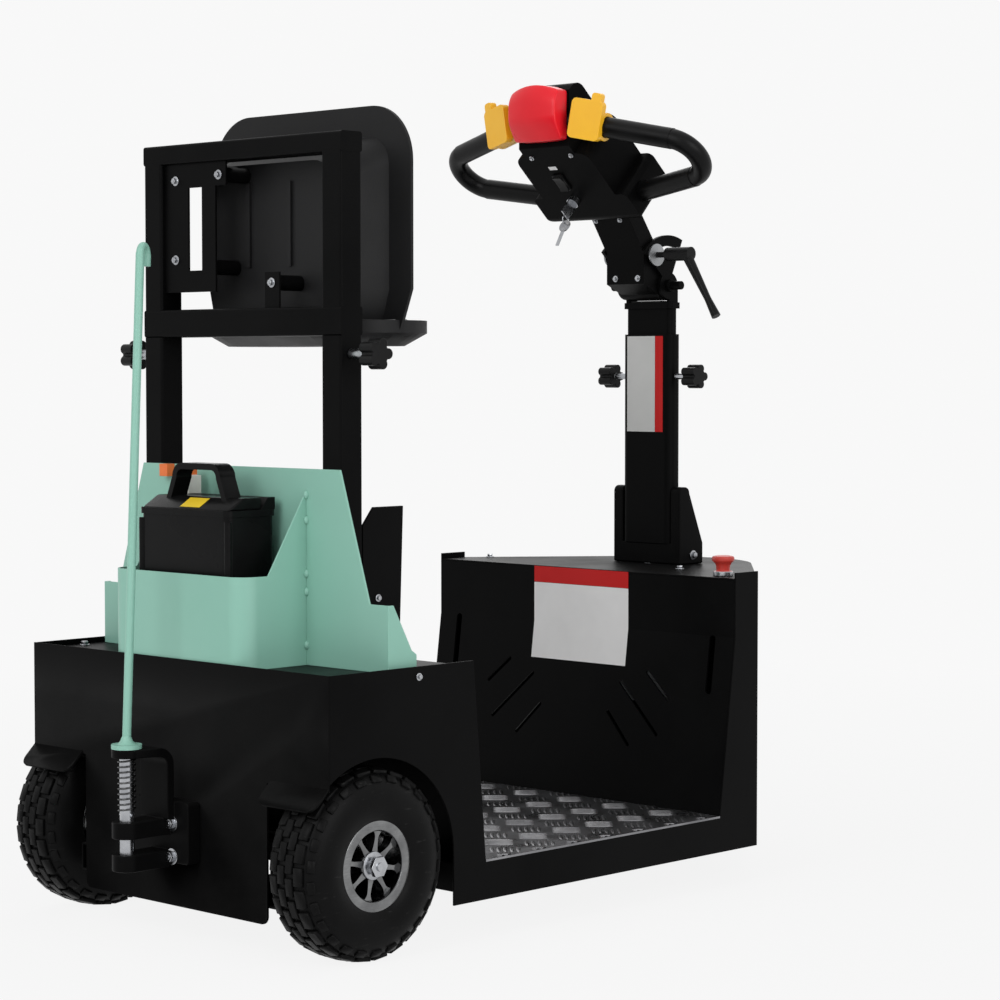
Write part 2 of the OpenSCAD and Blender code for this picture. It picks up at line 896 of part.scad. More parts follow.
// Slotted plate on the left of the frame and two straps, with bosses that carry the shell
module seat_plates() {
    out = post_y - post / 2;
    under = frame_h - top_bar_h;
    boss_places = [[boss_y, boss_low + frame_bar], [boss_y, boss_high + frame_bar],
        [strap_top_y, under - strap_top_l + strap_boss], [strap_low_y, frame_bar + strap_low_l - strap_boss]];
    color(black) from_rear() translate([post_x + seat_plate_x, 0, post_z]) {
        along_x(0, seat_plate_t) {
            difference() {
                translate([seat_plate_in, seat_plate_low + frame_bar])
                    square([out - seat_plate_in, seat_plate_high - seat_plate_low]);
                translate([slot_in, slot_low + frame_bar]) square([slot_w, slot_high - slot_low]);
            }
            translate([strap_top_y - strap_half, under - strap_top_l]) square([2 * strap_half, strap_top_l]);
            translate([strap_low_y - strap_half, frame_bar]) square([2 * strap_half, strap_low_l]);
        }
        for (b = boss_places) translate([seat_plate_t, b.x, b.y])
            rotate([0, 90, 0]) cylinder(h = shell_x - seat_plate_x - seat_plate_t, d = boss_d);
    }
}

// Outline of the seat back from behind: round top corners and a narrower foot
module back_outline(inset, foot) {
    half = back_w / 2 - inset;
    r = max(shell_top_r - inset, shell_top_r / 2);
    top = back_h - inset;
    translate([-half + r, waist_z]) square([2 * (half - r), top - waist_z]);
    translate([-half, waist_z]) square([2 * half, top - r - waist_z]);
    for (side = [-1, 1]) translate([side * (half - r), top - r]) circle(r = r);
    if (foot < waist_z)
        polygon([[-half, waist_z], [-half * waist_share, foot], [half * waist_share, foot], [half, waist_z]]);
}

// Plan of the perch with round front corners
module perch_plan(inset, r) {
    half = pan_w / 2 - inset;
    front = post + perch_reach - inset;
    back = shell_x + inset;
    wide = shell_x + shell_depth;
    rear_half = back_w / 2 - dish_in - inset;
    polygon([[back, -rear_half], [wide, -half], [wide, half], [back, rear_half]]);
    translate([wide, -half]) square([front - r - wide, 2 * half]);
    translate([wide, -half + r]) square([front - wide, 2 * (half - r)]);
    for (side = [-1, 1]) translate([front - r, side * (half - r)]) circle(r = r);
}

// Dish behind the rim, grown or drawn in by a wall
module back_dish(wall) {
    front = shell_x + shell_depth;
    hull() {
        along_x(front - shell_t, front) back_outline(rim_band + wall, shell_foot, $fn = dish_sides);
        along_x(shell_x + wall, shell_x + wall + shell_t) back_outline(dish_in + wall, shell_foot, $fn = dish_sides);
    }
}

// Moulded seat shell: a flat rim, a dished back with two ribs and a shallow pan
module seat_shell() {
    front = shell_x + shell_depth;
    floor_z = pan_bowl_h - pan_low - shell_t;
    color(black) from_rear() translate([post_x, 0, post_z]) {
        difference() {
            union() {
                along_x(front - shell_t, front) back_outline(0, shell_foot);
                back_dish(0);
                translate([0, 0, -pan_low]) {
                    hull() {
                        along_z(0, shell_t) perch_plan(pan_bowl_in, pan_r - pan_bowl_in, $fn = dish_sides);
                        along_z(pan_bowl_h, pan_h) perch_plan(0, pan_r, $fn = dish_sides);
                    }
                }
            }
            back_dish(shell_t);
            along_x(front - shell_t - cut, front + cut) difference() {
                back_outline(rim_band + shell_t, shell_foot);
                translate([-back_w, -pan_low]) square([2 * back_w, pan_h]);
            }
            along_z(floor_z, pan_h - pan_low + cut) perch_plan(pan_lip, pan_r - pan_lip);
            along_z(shell_t - pan_low, pan_h - pan_low + cut) perch_plan(pan_bowl_in, pan_r - pan_bowl_in);
        }
        for (side = [-1, 1]) along_x(shell_x - rib_t, shell_x + shell_t / 2)
            translate([side * rib_y - rib_w / 2, rib_low]) square([rib_w, rib_high - rib_low]);
    }
}

// Back cushion in the dish
module back_pad() {
    inset = dish_in + shell_t + pad_gap;
    base = shell_x + shell_t + pad_gap;
    color(rubber) from_rear() translate([post_x, 0, post_z]) along_x(base, base + back_pad_t) difference() {
        back_outline(inset, waist_z);
        translate([-back_w, 0]) square([2 * back_w, waist_z + pan_lip]);
    }
}

// Perch cushion in the pan
module perch_pad() {
    base = pan_bowl_h - pan_low - shell_t + pad_gap;
    color(rubber) from_rear() translate([post_x, 0, post_z]) difference() {
        along_z(base, base + perch_pad_t) perch_plan(pan_lip + pad_gap, pan_r - pan_lip - pad_gap);
        translate([0, -back_w, base - cut])
            cube([shell_x + shell_depth + pad_gap, 2 * back_w, perch_pad_t + 2 * cut]);
    }
}

// Casting that turns on the top plate and holds the column between two ears
module column_base() {
    foot = top_z + fit;
    low = top_z + base_h;
    color(black) from_rear() translate([steer_x, 0, 0]) {
        along_y(-base_half, base_half) translate([-base_back, foot]) square([base_back + base_front, base_h - fit]);
        pair() along_y(column_w / 2, base_half) {
            polygon([[-base_back, low], [base_front, low], [ear_top_w / 2, low + ear_h - ear_top_r],
                [-base_back, low + ear_h - ear_top_r]]);
            rounded_box([-base_back, low], [ear_top_w / 2, low + ear_h], ear_top_r);
        }
    }
}

// Flat outer tube of the column
module column_outer() {
    color(black) from_rear() translate([steer_x, 0, 0]) along_z(top_z + base_h, column_z) difference() {
        rounded_rect(column_d, column_w, column_r);
        rounded_rect(column_d - 2 * column_wall, column_w - 2 * column_wall, column_r - column_wall);
    }
}

// Clamping knobs on the sides of the outer tube
module column_knobs() {
    color(black) from_rear() pair() translate([steer_x, column_w / 2, column_z - column_knob_drop])
        rotate([-90, 0, 0]) {
            cylinder(h = column_knob_out - column_knob_t, d = stud_d);
            translate([0, 0, column_knob_out - column_knob_t]) star_knob(column_knob_d, column_knob_t);
        }
}

// Fork that carries the drive wheel, with its axle
module drive_fork() {
    arm_in = drive_w / 2 + fork_gap;
    color(black) from_rear() translate([steer_x, 0, 0]) {
        pair() along_y(arm_in, arm_in + fork_t) {
            translate([0, drive_d / 2]) circle(d = fork_w);
            translate([-fork_w / 2, drive_d / 2]) square([fork_w, drive_top - drive_d / 2]);
        }
        translate([-fork_w / 2, -arm_in - fork_t, drive_top]) cube([fork_w, 2 * (arm_in + fork_t), crown_h]);
        translate([0, 0, drive_d / 2]) round_y(-arm_in - cut, arm_in + cut, drive_axle_d);
    }
}

// Drive motor above the fork, with the steering spindle on top
module drive_motor() {
    base = drive_top + crown_h;
    color(silver) from_rear() translate([steer_x, 0, base]) {
        cylinder(h = motor_h, d = motor_d);
        cylinder(h = top_z + fit - base, d = spindle_d);
    }
}

// Sector between two angles, out to a radius
module sector(a0, a1, r) {
    reach = 2 * r;
    intersection() {
        circle(r = r);
        polygon([[0, 0], reach * [cos(a0), sin(a0)], reach * [cos((a0 + a1) / 2), sin((a0 + a1) / 2)],
            reach * [cos(a1), sin(a1)]]);
    }
}

// Curved slot for the clamp stud, about the tilt pin
module tilt_slot() {
    difference() {
        sector(slot_from, slot_to, slot_r + slot_d / 2);
        circle(r = slot_r - slot_d / 2);
    }
    for (a = [slot_from, slot_to]) translate(slot_r * [cos(a), sin(a)]) circle(d = slot_d + 2 * ease);
}

// Inner tube of the column with a band and two slotted ears
module column_inner() {
    band_z = tilt_z - band_low;
    inner_d = column_d - 2 * column_wall - 2 * slide_fit;
    inner_w = column_w - 2 * column_wall - 2 * slide_fit;
    inner_r = column_r - column_wall - slide_fit;
    color(black) from_rear() translate([steer_x, 0, 0]) {
        along_z(inner_foot, band_z) difference() {
            rounded_rect(inner_d, inner_w, inner_r);
            rounded_rect(inner_d - 2 * column_wall, inner_w - 2 * column_wall, inner_r - column_wall);
        }
        along_z(band_z, band_z + band_h) rounded_rect(inner_d + 2 * band_out, inner_w + 2 * band_out, inner_r);
        pair() along_y(ear_in, ear_in + ear_t) difference() {
            union() {
                translate([-inner_d / 2, band_z]) square([inner_d, band_low]);
                translate([-tilt_back, tilt_z]) {
                    circle(r = ear_boss_r);
                    sector(slot_from - ear_edge_angle, slot_to + ear_edge_angle, ear_r);
                }
            }
            translate([-tilt_back, tilt_z]) {
                circle(d = tilt_d);
                tilt_slot();
            }
        }
    }
}

// Pin through the ears that the arm tilts on
module tilt_pin() {
    color(black) from_rear() translate([steer_x - tilt_back, 0, tilt_z]) {
        round_y(-tilt_half, tilt_half, tilt_d);
        pair() round_y(ear_in + ear_t, ear_in + ear_t + pin_head_t, pin_head_d);
    }
}

// Cast arm from the tilt pin up to the head
module head_arm() {
    clamp = slot_r * [cos(clamp_angle), sin(clamp_angle)];
    foot = [head_x - steer_x + tilt_back, head_z - tilt_z];
    top = foot + 2 * head_foot * [-sin(head_lean), cos(head_lean)];
    run = top - clamp;
    side = arm_t / 2 * [run.y, -run.x] / norm(run);
    color(black) from_rear() translate([steer_x - tilt_back, 0, tilt_z]) difference() {
        along_y(-arm_half, arm_half) {
            circle(r = arm_boss_r);
            polygon([arm_heel, clamp + side, top + side, top - [arm_t / 2, 0], [-arm_back, arm_knee_z],
                [-arm_back, arm_foot_z], -arm_heel]);
        }
        round_y(-arm_half - cut, arm_half + cut, tilt_d + 2 * fit);
        translate([clamp.x, 0, clamp.y]) round_y(-arm_half - cut, arm_half + cut, clamp_stud_d);
        in_head_from_tilt() translate([-head_t, -head_w, head_foot]) cube([2 * head_t, 2 * head_w, head_l]);
    }
}

// The head's own axes, seen from the tilt pin
module in_head_from_tilt() {
    translate([head_x - steer_x + tilt_back, 0, head_z - tilt_z]) rotate([0, -head_lean, 0]) children();
}

// The head's own axes
module in_head() {
    from_rear() translate([head_x, 0, head_z]) rotate([0, -head_lean, 0]) children();
}

// Stud, washer and hand lever that clamp the tilt
module clamp_lever() {
    clamp = slot_r * [cos(clamp_angle), sin(clamp_angle)];
    face = ear_in + ear_t + fit;
    hub = [-clamp_end + clamp_hub_d / 2, 0];
    tip = [-clamp_end - clamp_out, -clamp_drop];
    arm_l = norm(tip - hub);
    arm_turn = atan2(tip.y - hub.y, tip.x - hub.x) - 90;
    color(black) from_rear() translate([steer_x - tilt_back + clamp.x, 0, tilt_z + clamp.y]) {
        round_y(hub.x, face + washer_t, clamp_stud_d - 2 * fit);
        for (y = [-face - washer_t, face]) round_y(y, y + washer_t, washer_d);
        round_y(-clamp_end, -clamp_end + clamp_hub_h, clamp_hub_d);
        translate([0, hub.x, hub.y]) rotate([arm_turn, 0, 0]) rotate_extrude()
            polygon([[0, 0], [clamp_root_d / 2, 0], [clamp_neck_d / 2, clamp_neck_share * arm_l],
                [clamp_tip_d / 2, arm_l], [0, arm_l]]);
    }
}

// Moulded housing of the tiller head
module head_housing() {
    color(black) difference() {
        in_head() intersection() {
            along_y(-head_w, head_w) rounded_box([-head_back, head_foot], [head_front, head_l], head_r);
            along_x(-head_t, head_t) {
                rounded_box([-head_w / 2, head_foot], [head_w / 2, head_l - neck_l], head_r);
                translate([-neck_half, 2 * head_r]) square([2 * neck_half, head_l - 2 * head_r]);
                rounded_box([-root_half, root_low], [root_half, root_high], head_r / 2);
            }
        }
        from_rear() translate([head_x - reverse_x - head_l, -head_w, head_z]) cube([head_l, 2 * head_w, head_l]);
    }
}

// Handle loop on the left: two straight runs and a round end
module handle_loop() {
    drop = (loop_y - loop_r - loop_hi.x) * tan(loop_slope);
    mid = [loop_y - loop_r, loop_hi.y - drop - loop_r / cos(loop_slope)];
    low_run = mid - loop_lo;
    low_angle = atan2(low_run.y, low_run.x) - asin(loop_r / norm(low_run));
    upper = mid + loop_r * [sin(loop_slope), cos(loop_slope)];
    lower = mid + loop_r * [sin(low_angle), -cos(low_angle)];
    translate([loop_t, 0, 0]) difference() {
        union() {
            rod_yz(loop_hi, upper + grip_over * [cos(loop_slope), -sin(loop_slope)], loop_d + 2 * grip_t);
            rod_yz(loop_lo, lower + grip_over * [cos(low_angle), sin(low_angle)], loop_d + 2 * grip_t);
            translate([0, mid.x, mid.y]) rotate([90, 0, 90]) rotate([0, 0, low_angle - 90])
                rotate_extrude(angle = 180 - loop_slope - low_angle) translate([loop_r, 0]) circle(d = loop_d);
        }
        translate([-loop_d, -head_w, 0]) cube([2 * loop_d, head_w + root_half, mid.y]);
        translate([-loop_d, -head_w, mid.y]) cube([2 * loop_d, head_w + neck_half, head_l]);
    }
}

module handle_left() {
    color(rubber) in_head() handle_loop();
}

module handle_right() {
    color(rubber) in_head() mirror([0, 1, 0]) handle_loop();
}

// Upright red pad on the end of the head
module reverse_pad() {
    color(red) from_rear() translate([head_x - reverse_x - reverse_t, 0, head_z + reverse_low]) intersection() {
        along_y(-reverse_half, reverse_half) {
            rounded_box([0, 0], [reverse_t, reverse_h], reverse_r);
            translate([reverse_t / 2, reverse_r]) square([reverse_t / 2, reverse_h - 2 * reverse_r]);
        }
        along_x(0, reverse_t) rounded_box([-reverse_half, 0], [reverse_half, reverse_h], reverse_r);
    }
}

// Butterfly levers round the upper runs of the loops, with paddles towards the driver
module throttle_levers() {
    color(yellow) in_head() pair() translate([loop_t, loop_hi.x, loop_hi.y]) rotate([-90 - loop_slope, 0, 0])
        difference() {
            union() {
                translate([0, 0, lever_from + lever_hub_in])
                    cylinder(h = lever_l - 2 * lever_hub_in, d = lever_hub_d);
                rotate([0, 0, head_lean - 90]) translate([0, -lever_out, lever_from]) rotate([-90, 0, 0])
                    linear_extrude(lever_t) {
                        rounded_box([-lever_low, -lever_l], [lever_high, 0], lever_r);
                        rounded_box([0, lever_tab_r - lever_l], [lever_high + lever_tab_h, lever_tab_l - lever_l], lever_tab_r);
                    }
            }
            translate([0, 0, lever_from - cut]) cylinder(h = lever_l + 2 * cut, d = loop_d + 2 * grip_t + 2 * fit);
        }
}

// Rocker switch on the face towards the driver: a frame and a rocker
module rocker_switch() {
    color(rubber) in_head() translate([-head_back, switch_y, switch_s]) {
        along_x(-switch_h / 2, 0) rounded_rect(switch_w, switch_l, lever_r / 2);
        along_y(-switch_w / 2 + switch_rim, switch_w / 2 - switch_rim)
            polygon([[0, -switch_l / 2 + switch_rim], [-switch_h, -switch_l / 2 + switch_rim],
                [-switch_h / 2, 0], [-switch_h, switch_l / 2 - switch_rim], [0, switch_l / 2 - switch_rim]]);
    }
}

// Key lock below the switch, with its key
module key_switch() {
    color(silver) in_head() translate([-head_back, 0, 0]) {
        translate([-lock_h, switch_y, lock_s]) rotate([0, 90, 0]) cylinder(h = lock_h, d = lock_d);
        translate([-lock_h - key_l, switch_y - key_t / 2, lock_s - key_w / 2]) cube([key_l, key_t, key_w]);
    }
}

// A tyre about Y: a round-shouldered ring on a rim
module tyre_ring(d, w, bore) {
    rotate([90, 0, 0]) rotate_extrude() difference() {
        rounded_box([bore / 2 - tyre_round, -w / 2], [d / 2, w / 2], tyre_round);
        translate([0, -w]) square([bore / 2 + fit, 2 * w]);
        for (y = [-w, rim_w / 2 - rim_lip]) translate([0, y])
            square([rim_d / 2 + fit, w - rim_w / 2 + rim_lip]);
    }
}

// Window of a rim's face: a round outer end that narrows towards the hub
module petal() {
    polygon([[petal_foot, -petal_foot_r], [petal_mid, -petal_r], [petal_mid, petal_r], [petal_foot, petal_foot_r]]);
    translate([petal_mid, 0]) circle(r = petal_r + ease);
    translate([petal_foot, 0]) circle(r = petal_foot_r + ease);
}

// A rear rim about Y: a flanged barrel, a hub and a face with petal windows
module rear_rim() {
    bore = stub_d + 2 * fit;
    difference() {
        union() {
            rotate([90, 0, 0]) rotate_extrude() {
                translate([rim_d / 2 - rim_lip - rim_wall, -rim_w / 2]) square([rim_wall, rim_w]);
                for (y = [-rim_w / 2, rim_w / 2 - rim_lip]) translate([rim_d / 2 - rim_lip - rim_wall, y])
                    square([rim_wall + rim_lip, rim_lip]);
            }
            round_y(-hub_in, hub_out, hub_d);
            difference() {
                round_y(hub_out - face_in - face_t, hub_out - face_in, rim_d - 2 * rim_lip - rim_wall);
                for (i = [0:petal_n - 1]) rotate([0, i * 360 / petal_n, 0])
                    along_y(hub_out - face_in - face_t - cut, hub_out - face_in + cut) petal();
            }
        }
        round_y(-hub_in - cut, hub_out + cut, bore);
    }
}

module at_left_wheel() {
    from_rear() translate([wheel_x, track / 2, axle_z]) children();
}

module tyre_left() {
    color(rubber) at_left_wheel() tyre_ring(tyre_d, tyre_w, rim_d - 2 * rim_lip);
}

module rim_left() {
    color(silver) at_left_wheel() rear_rim();
}

module tyre_right() {
    color(rubber) mirror([0, 1, 0]) at_left_wheel() tyre_ring(tyre_d, tyre_w, rim_d - 2 * rim_lip);
}

module rim_right() {
    color(silver) mirror([0, 1, 0]) at_left_wheel() rear_rim();
}

// Solid tyre of the drive wheel
module drive_tyre() {
    color(rubber) from_rear() translate([steer_x, 0, drive_d / 2]) rotate([90, 0, 0]) rotate_extrude()
        difference() {
            rounded_box([0, -drive_w / 2], [drive_d / 2, drive_w / 2], column_r);
            translate([-drive_d, -drive_w]) square([drive_d + drive_rim_d / 2, 2 * drive_w]);
        }
}

// Hub of the drive wheel, bored for its axle
module drive_hub() {
    color(silver) from_rear() translate([steer_x, 0, drive_d / 2]) difference() {
        round_y(-drive_w / 2, drive_w / 2, drive_rim_d);
        round_y(-drive_w, drive_w, drive_axle_d + 2 * fit);
    }
}

// Tow pin with its rounded tip, cross pin and flange
module tow_pin() {
    flange_low = top_lug_z + strap_t + fit;
    spring_low = hitch_z + 2 * lug_t + jaw_h + cross_pin_d / 2 + pin_tip;
    color(zinc) from_rear() translate([-pin_back, 0, 0]) {
        translate([0, 0, hitch_z]) cylinder(h = pin_tip, d1 = pin_d - pin_tip, d2 = pin_d);
        along_z(hitch_z + pin_tip, flange_low) circle(d = pin_d);
        translate([0, 0, spring_low]) round_y(-cross_pin_l / 2, cross_pin_l / 2, cross_pin_d);
        along_z(flange_low, flange_low + flange_t) circle(d = flange_d);
    }
}

// Painted rod with a hooked grip, leaning a little forward
module pull_rod() {
    base = top_lug_z + strap_t + fit + flange_t;
    rise = rod_z - hook_r - base - rod_d / 2;
    tilt = atan2(rod_lean, rise);
    run = norm([rise, rod_lean]);
    color(mint) from_rear() translate([-pin_back, 0, base]) difference() {
        rotate([0, tilt, 0]) {
            translate([0, 0, -rod_d]) cylinder(h = run + rod_d + cut, d = rod_d);
            rotate([0, 0, hook_turn]) {
                translate([hook_r, 0, run]) rotate([90, 0, 0]) rotate_extrude(angle = 180)
                    translate([hook_r, 0]) circle(d = hook_d);
                translate([2 * hook_r, 0, run - hook_l]) cylinder(h = hook_l + cut, d = rod_d);
            }
        }
        translate([-rod_d, -rod_d, -2 * rod_d]) cube([2 * rod_d, 2 * rod_d, 2 * rod_d]);
    }
}

// Spring round the tow pin, swept along its helix
module hitch_spring() {
    low = hitch_z + 2 * lug_t + jaw_h + cross_pin_d + pin_tip + fit + spring_wire / 2;
    high = top_lug_z - fit - spring_wire / 2;
    mid_r = spring_od / 2 - spring_wire / 2;
    n = spring_turns * spring_steps;
    points = [for (i = [0:n]) for (j = [0:spring_sides - 1])
        let (a = i * 360 / spring_steps, b = j * 360 / spring_sides, r = mid_r + spring_wire / 2 * cos(b))
        [r * cos(a), r * sin(a), low + i * (high - low) / n + spring_wire / 2 * sin(b)]];
    sides = [for (i = [0:n - 1]) for (j = [0:spring_sides - 1])
        let (k = (j + 1) % spring_sides, p = i * spring_sides)
        [p + j, p + spring_sides + j, p + spring_sides + k, p + k]];
    caps = [[for (j = [0:spring_sides - 1]) j], [for (j = [0:spring_sides - 1]) (n + 1) * spring_sides - 1 - j]];
    color(zinc) from_rear() translate([-pin_back, 0, 0]) polyhedron(points, concat(sides, caps));
}

rear_panel();
side_frame_left();
side_frame_right();
rear_deck();
rear_wall();
chassis_frame();
rear_axle();
deck_plate();
bulkhead();
top_plate();
nose_cover();
battery_box();
back_plate();
battery();
battery_handle();
battery_terminals();
seat_posts();
post_gussets();
seat_knobs();
hitch_bracket();
emergency_stop();
seat_frame();
seat_plates();
seat_shell();
back_pad();
perch_pad();
column_base();
column_outer();
column_knobs();
drive_fork();
drive_motor();
column_inner();
tilt_pin();
head_arm();
clamp_lever();
head_housing();
handle_left();
handle_right();
reverse_pad();
throttle_levers();
rocker_switch();
key_switch();
drive_tyre();
drive_hub();
tyre_left();
rim_left();
tyre_right();
rim_right();
tow_pin();
pull_rod();
hitch_spring();
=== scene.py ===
import json
import math
import bmesh
import bpy
from mathutils import Matrix, Vector


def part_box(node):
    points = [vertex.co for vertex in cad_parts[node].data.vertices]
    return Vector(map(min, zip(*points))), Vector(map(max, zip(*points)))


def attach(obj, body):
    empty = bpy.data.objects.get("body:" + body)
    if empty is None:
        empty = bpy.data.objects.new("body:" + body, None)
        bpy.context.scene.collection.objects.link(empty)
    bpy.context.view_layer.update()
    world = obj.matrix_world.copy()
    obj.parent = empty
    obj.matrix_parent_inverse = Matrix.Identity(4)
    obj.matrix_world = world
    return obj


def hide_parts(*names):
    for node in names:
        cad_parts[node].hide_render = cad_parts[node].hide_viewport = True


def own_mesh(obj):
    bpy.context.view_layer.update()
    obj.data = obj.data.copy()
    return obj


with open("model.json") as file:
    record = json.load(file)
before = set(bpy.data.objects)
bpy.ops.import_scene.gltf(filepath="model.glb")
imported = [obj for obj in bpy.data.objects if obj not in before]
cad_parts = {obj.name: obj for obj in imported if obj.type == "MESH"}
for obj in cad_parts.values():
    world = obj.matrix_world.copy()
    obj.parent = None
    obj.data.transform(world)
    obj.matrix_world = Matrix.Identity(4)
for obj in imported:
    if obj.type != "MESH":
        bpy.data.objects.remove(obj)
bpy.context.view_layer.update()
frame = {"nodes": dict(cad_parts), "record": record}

scene = bpy.context.scene
nodes = frame["nodes"]
bodyOf = {node: body for body, carried in frame["record"]["behaviour"]["bodies"].items() for node in carried}
rearPanelX = -0.539  # back face of the rear panel, where the stations start


# a point given in millimetres: station from the rear panel, left, up
def spot(station, left, up):
    return Vector((rearPanelX + station / 1000, left / 1000, up / 1000))


# finishes

def newGroup(name, inputs, outputs):
    group = bpy.data.node_groups.new(name, "ShaderNodeTree")
    for label, value in inputs:
        group.interface.new_socket(name=label, in_out="INPUT", socket_type="NodeSocketFloat").default_value = value
    for label in outputs:
        group.interface.new_socket(name=label, in_out="OUTPUT", socket_type="NodeSocketFloat")
    return group, group.nodes.new("NodeGroupInput"), group.nodes.new("NodeGroupOutput")


def addNode(tree, kind, values=None, **settings):
    node = tree.nodes.new(kind)
    for key, value in settings.items():
        setattr(node, key, value)
    for label, value in (values or {}).items():
        node.inputs[label].default_value = value
    return node


def ramp(tree, source, low, high, toLow=0.0, toHigh=1.0):
    node = addNode(tree, "ShaderNodeMapRange",
                   {"From Min": low, "From Max": high, "To Min": toLow, "To Max": toHigh})
    tree.links.new(source, node.inputs["Value"])
    return node.outputs["Result"]


def times(tree, first, second):
    node = addNode(tree, "ShaderNodeMath", operation="MULTIPLY")
    tree.links.new(first, node.inputs[0])
    tree.links.new(second, node.inputs[1])
    return node.outputs["Value"]


mixSockets = {"first": 6, "second": 7, "result": 2}  # the colours among a Mix node's sockets


def blendColour(tree, mask, first, second):
    node = addNode(tree, "ShaderNodeMix", data_type="RGBA")
    tree.links.new(mask, node.inputs[0])
    for label, value in (("first", first), ("second", second)):
        place = node.inputs[mixSockets[label]]
        if isinstance(value, tuple):
            place.default_value = (*value, 1)
        else:
            tree.links.new(value, place)
    return node.outputs[mixSockets["result"]]


# fine grain for the bump and soft clouds for the tone
surfaceGrain, grainIn, grainOut = newGroup("surfaceGrain", [("Grain Scale", 900), ("Cloud Scale", 6)],
                                           ["Grain", "Cloud"])
grainPlace = addNode(surfaceGrain, "ShaderNodeTexCoord")
fineNoise = addNode(surfaceGrain, "ShaderNodeTexNoise", {"Detail": 2.0, "Roughness": 0.5})
cloudNoise = addNode(surfaceGrain, "ShaderNodeTexNoise", {"Detail": 4.0, "Roughness": 0.55})
for noise, label in ((fineNoise, "Grain Scale"), (cloudNoise, "Cloud Scale")):
    surfaceGrain.links.new(grainPlace.outputs["Object"], noise.inputs["Vector"])
    surfaceGrain.links.new(grainIn.outputs[label], noise.inputs["Scale"])
surfaceGrain.links.new(fineNoise.outputs["Fac"], grainOut.inputs["Grain"])
surfaceGrain.links.new(ramp(surfaceGrain, cloudNoise.outputs["Fac"], 0.35, 0.65), grainOut.inputs["Cloud"])

# dust that settles on what faces up, in patches
settledDust, dustIn, dustOut = newGroup("settledDust", [("Amount", 0.2), ("Patch Scale", 9)], ["Mask"])
dustPlace = addNode(settledDust, "ShaderNodeTexCoord")
dustSplit = addNode(settledDust, "ShaderNodeSeparateXYZ")
dustNoise = addNode(settledDust, "ShaderNodeTexNoise", {"Detail": 6.0, "Roughness": 0.65})
settledDust.links.new(dustPlace.outputs["Normal"], dustSplit.inputs[0])
settledDust.links.new(dustPlace.outputs["Object"], dustNoise.inputs["Vector"])
settledDust.links.new(dustIn.outputs["Patch Scale"], dustNoise.inputs["Scale"])
facingUp = ramp(settledDust, dustSplit.outputs["Z"], 0.1, 1.0, 0.12, 1.0)
inPatches = ramp(settledDust, dustNoise.outputs["Fac"], 0.35, 0.75)
settledDust.links.new(times(settledDust, times(settledDust, facingUp, inPatches), dustIn.outputs["Amount"]),
                      dustOut.inputs["Mask"])

# short rubbed marks and scratches; on the tyre the same marks are painted glints of light on the tread
rubAndPaintedGlintMarks, rubAndPaintedGlintIn, rubAndPaintedGlintOut = newGroup("rubAndPaintedGlintMarks", [("Amount", 0.2), ("Mark Scale", 40)], ["Mask"])
rubAndPaintedGlintPlace = addNode(rubAndPaintedGlintMarks, "ShaderNodeTexCoord")
rubAndPaintedGlintStretch = addNode(rubAndPaintedGlintMarks, "ShaderNodeMapping", {"Scale": (1.0, 1.0, 5.0), "Rotation": (0.5, 0.3, 0.2)})
rubAndPaintedGlintNoise = addNode(rubAndPaintedGlintMarks, "ShaderNodeTexNoise", {"Detail": 8.0, "Roughness": 0.7})
rubAndPaintedGlintMarks.links.new(rubAndPaintedGlintPlace.outputs["Object"], rubAndPaintedGlintStretch.inputs["Vector"])
rubAndPaintedGlintMarks.links.new(rubAndPaintedGlintStretch.outputs["Vector"], rubAndPaintedGlintNoise.inputs["Vector"])
rubAndPaintedGlintMarks.links.new(rubAndPaintedGlintIn.outputs["Mark Scale"], rubAndPaintedGlintNoise.inputs["Scale"])
rubAndPaintedGlintMarks.links.new(times(rubAndPaintedGlintMarks, ramp(rubAndPaintedGlintMarks, rubAndPaintedGlintNoise.outputs["Fac"], 0.62, 0.74), rubAndPaintedGlintIn.outputs["Amount"]),
                   rubAndPaintedGlintOut.inputs["Mask"])

# pebbled cells of moulded plastic, rubber and vinyl
pebbleSkin, pebbleIn, pebbleOut = newGroup("pebbleSkin", [("Cell Scale", 700)], ["Height"])
pebblePlace = addNode(pebbleSkin, "ShaderNodeTexCoord")
pebbleCells = addNode(pebbleSkin, "ShaderNodeTexVoronoi", feature="SMOOTH_F1")
pebbleSkin.links.new(pebblePlace.outputs["Object"], pebbleCells.inputs["Vector"])
pebbleSkin.links.new(pebbleIn.outputs["Cell Scale"], pebbleCells.inputs["Scale"])
pebbleSkin.links.new(pebbleCells.outputs["Distance"], pebbleOut.inputs["Height"])

# streaks of drawn, turned or brushed metal
drawnStreaks, streakIn, streakOut = newGroup("drawnStreaks", [("Streak Scale", 30)], ["Streak"])
streakPlace = addNode(drawnStreaks, "ShaderNodeTexCoord")
streakStretch = addNode(drawnStreaks, "ShaderNodeMapping", {"Scale": (2.0, 26.0, 26.0)})
streakNoise = addNode(drawnStreaks, "ShaderNodeTexNoise", {"Detail": 3.0, "Roughness": 0.6})
drawnStreaks.links.new(streakPlace.outputs["Object"], streakStretch.inputs["Vector"])
drawnStreaks.links.new(streakStretch.outputs["Vector"], streakNoise.inputs["Vector"])
drawnStreaks.links.new(streakIn.outputs["Streak Scale"], streakNoise.inputs["Scale"])
drawnStreaks.links.new(streakNoise.outputs["Fac"], streakOut.inputs["Streak"])

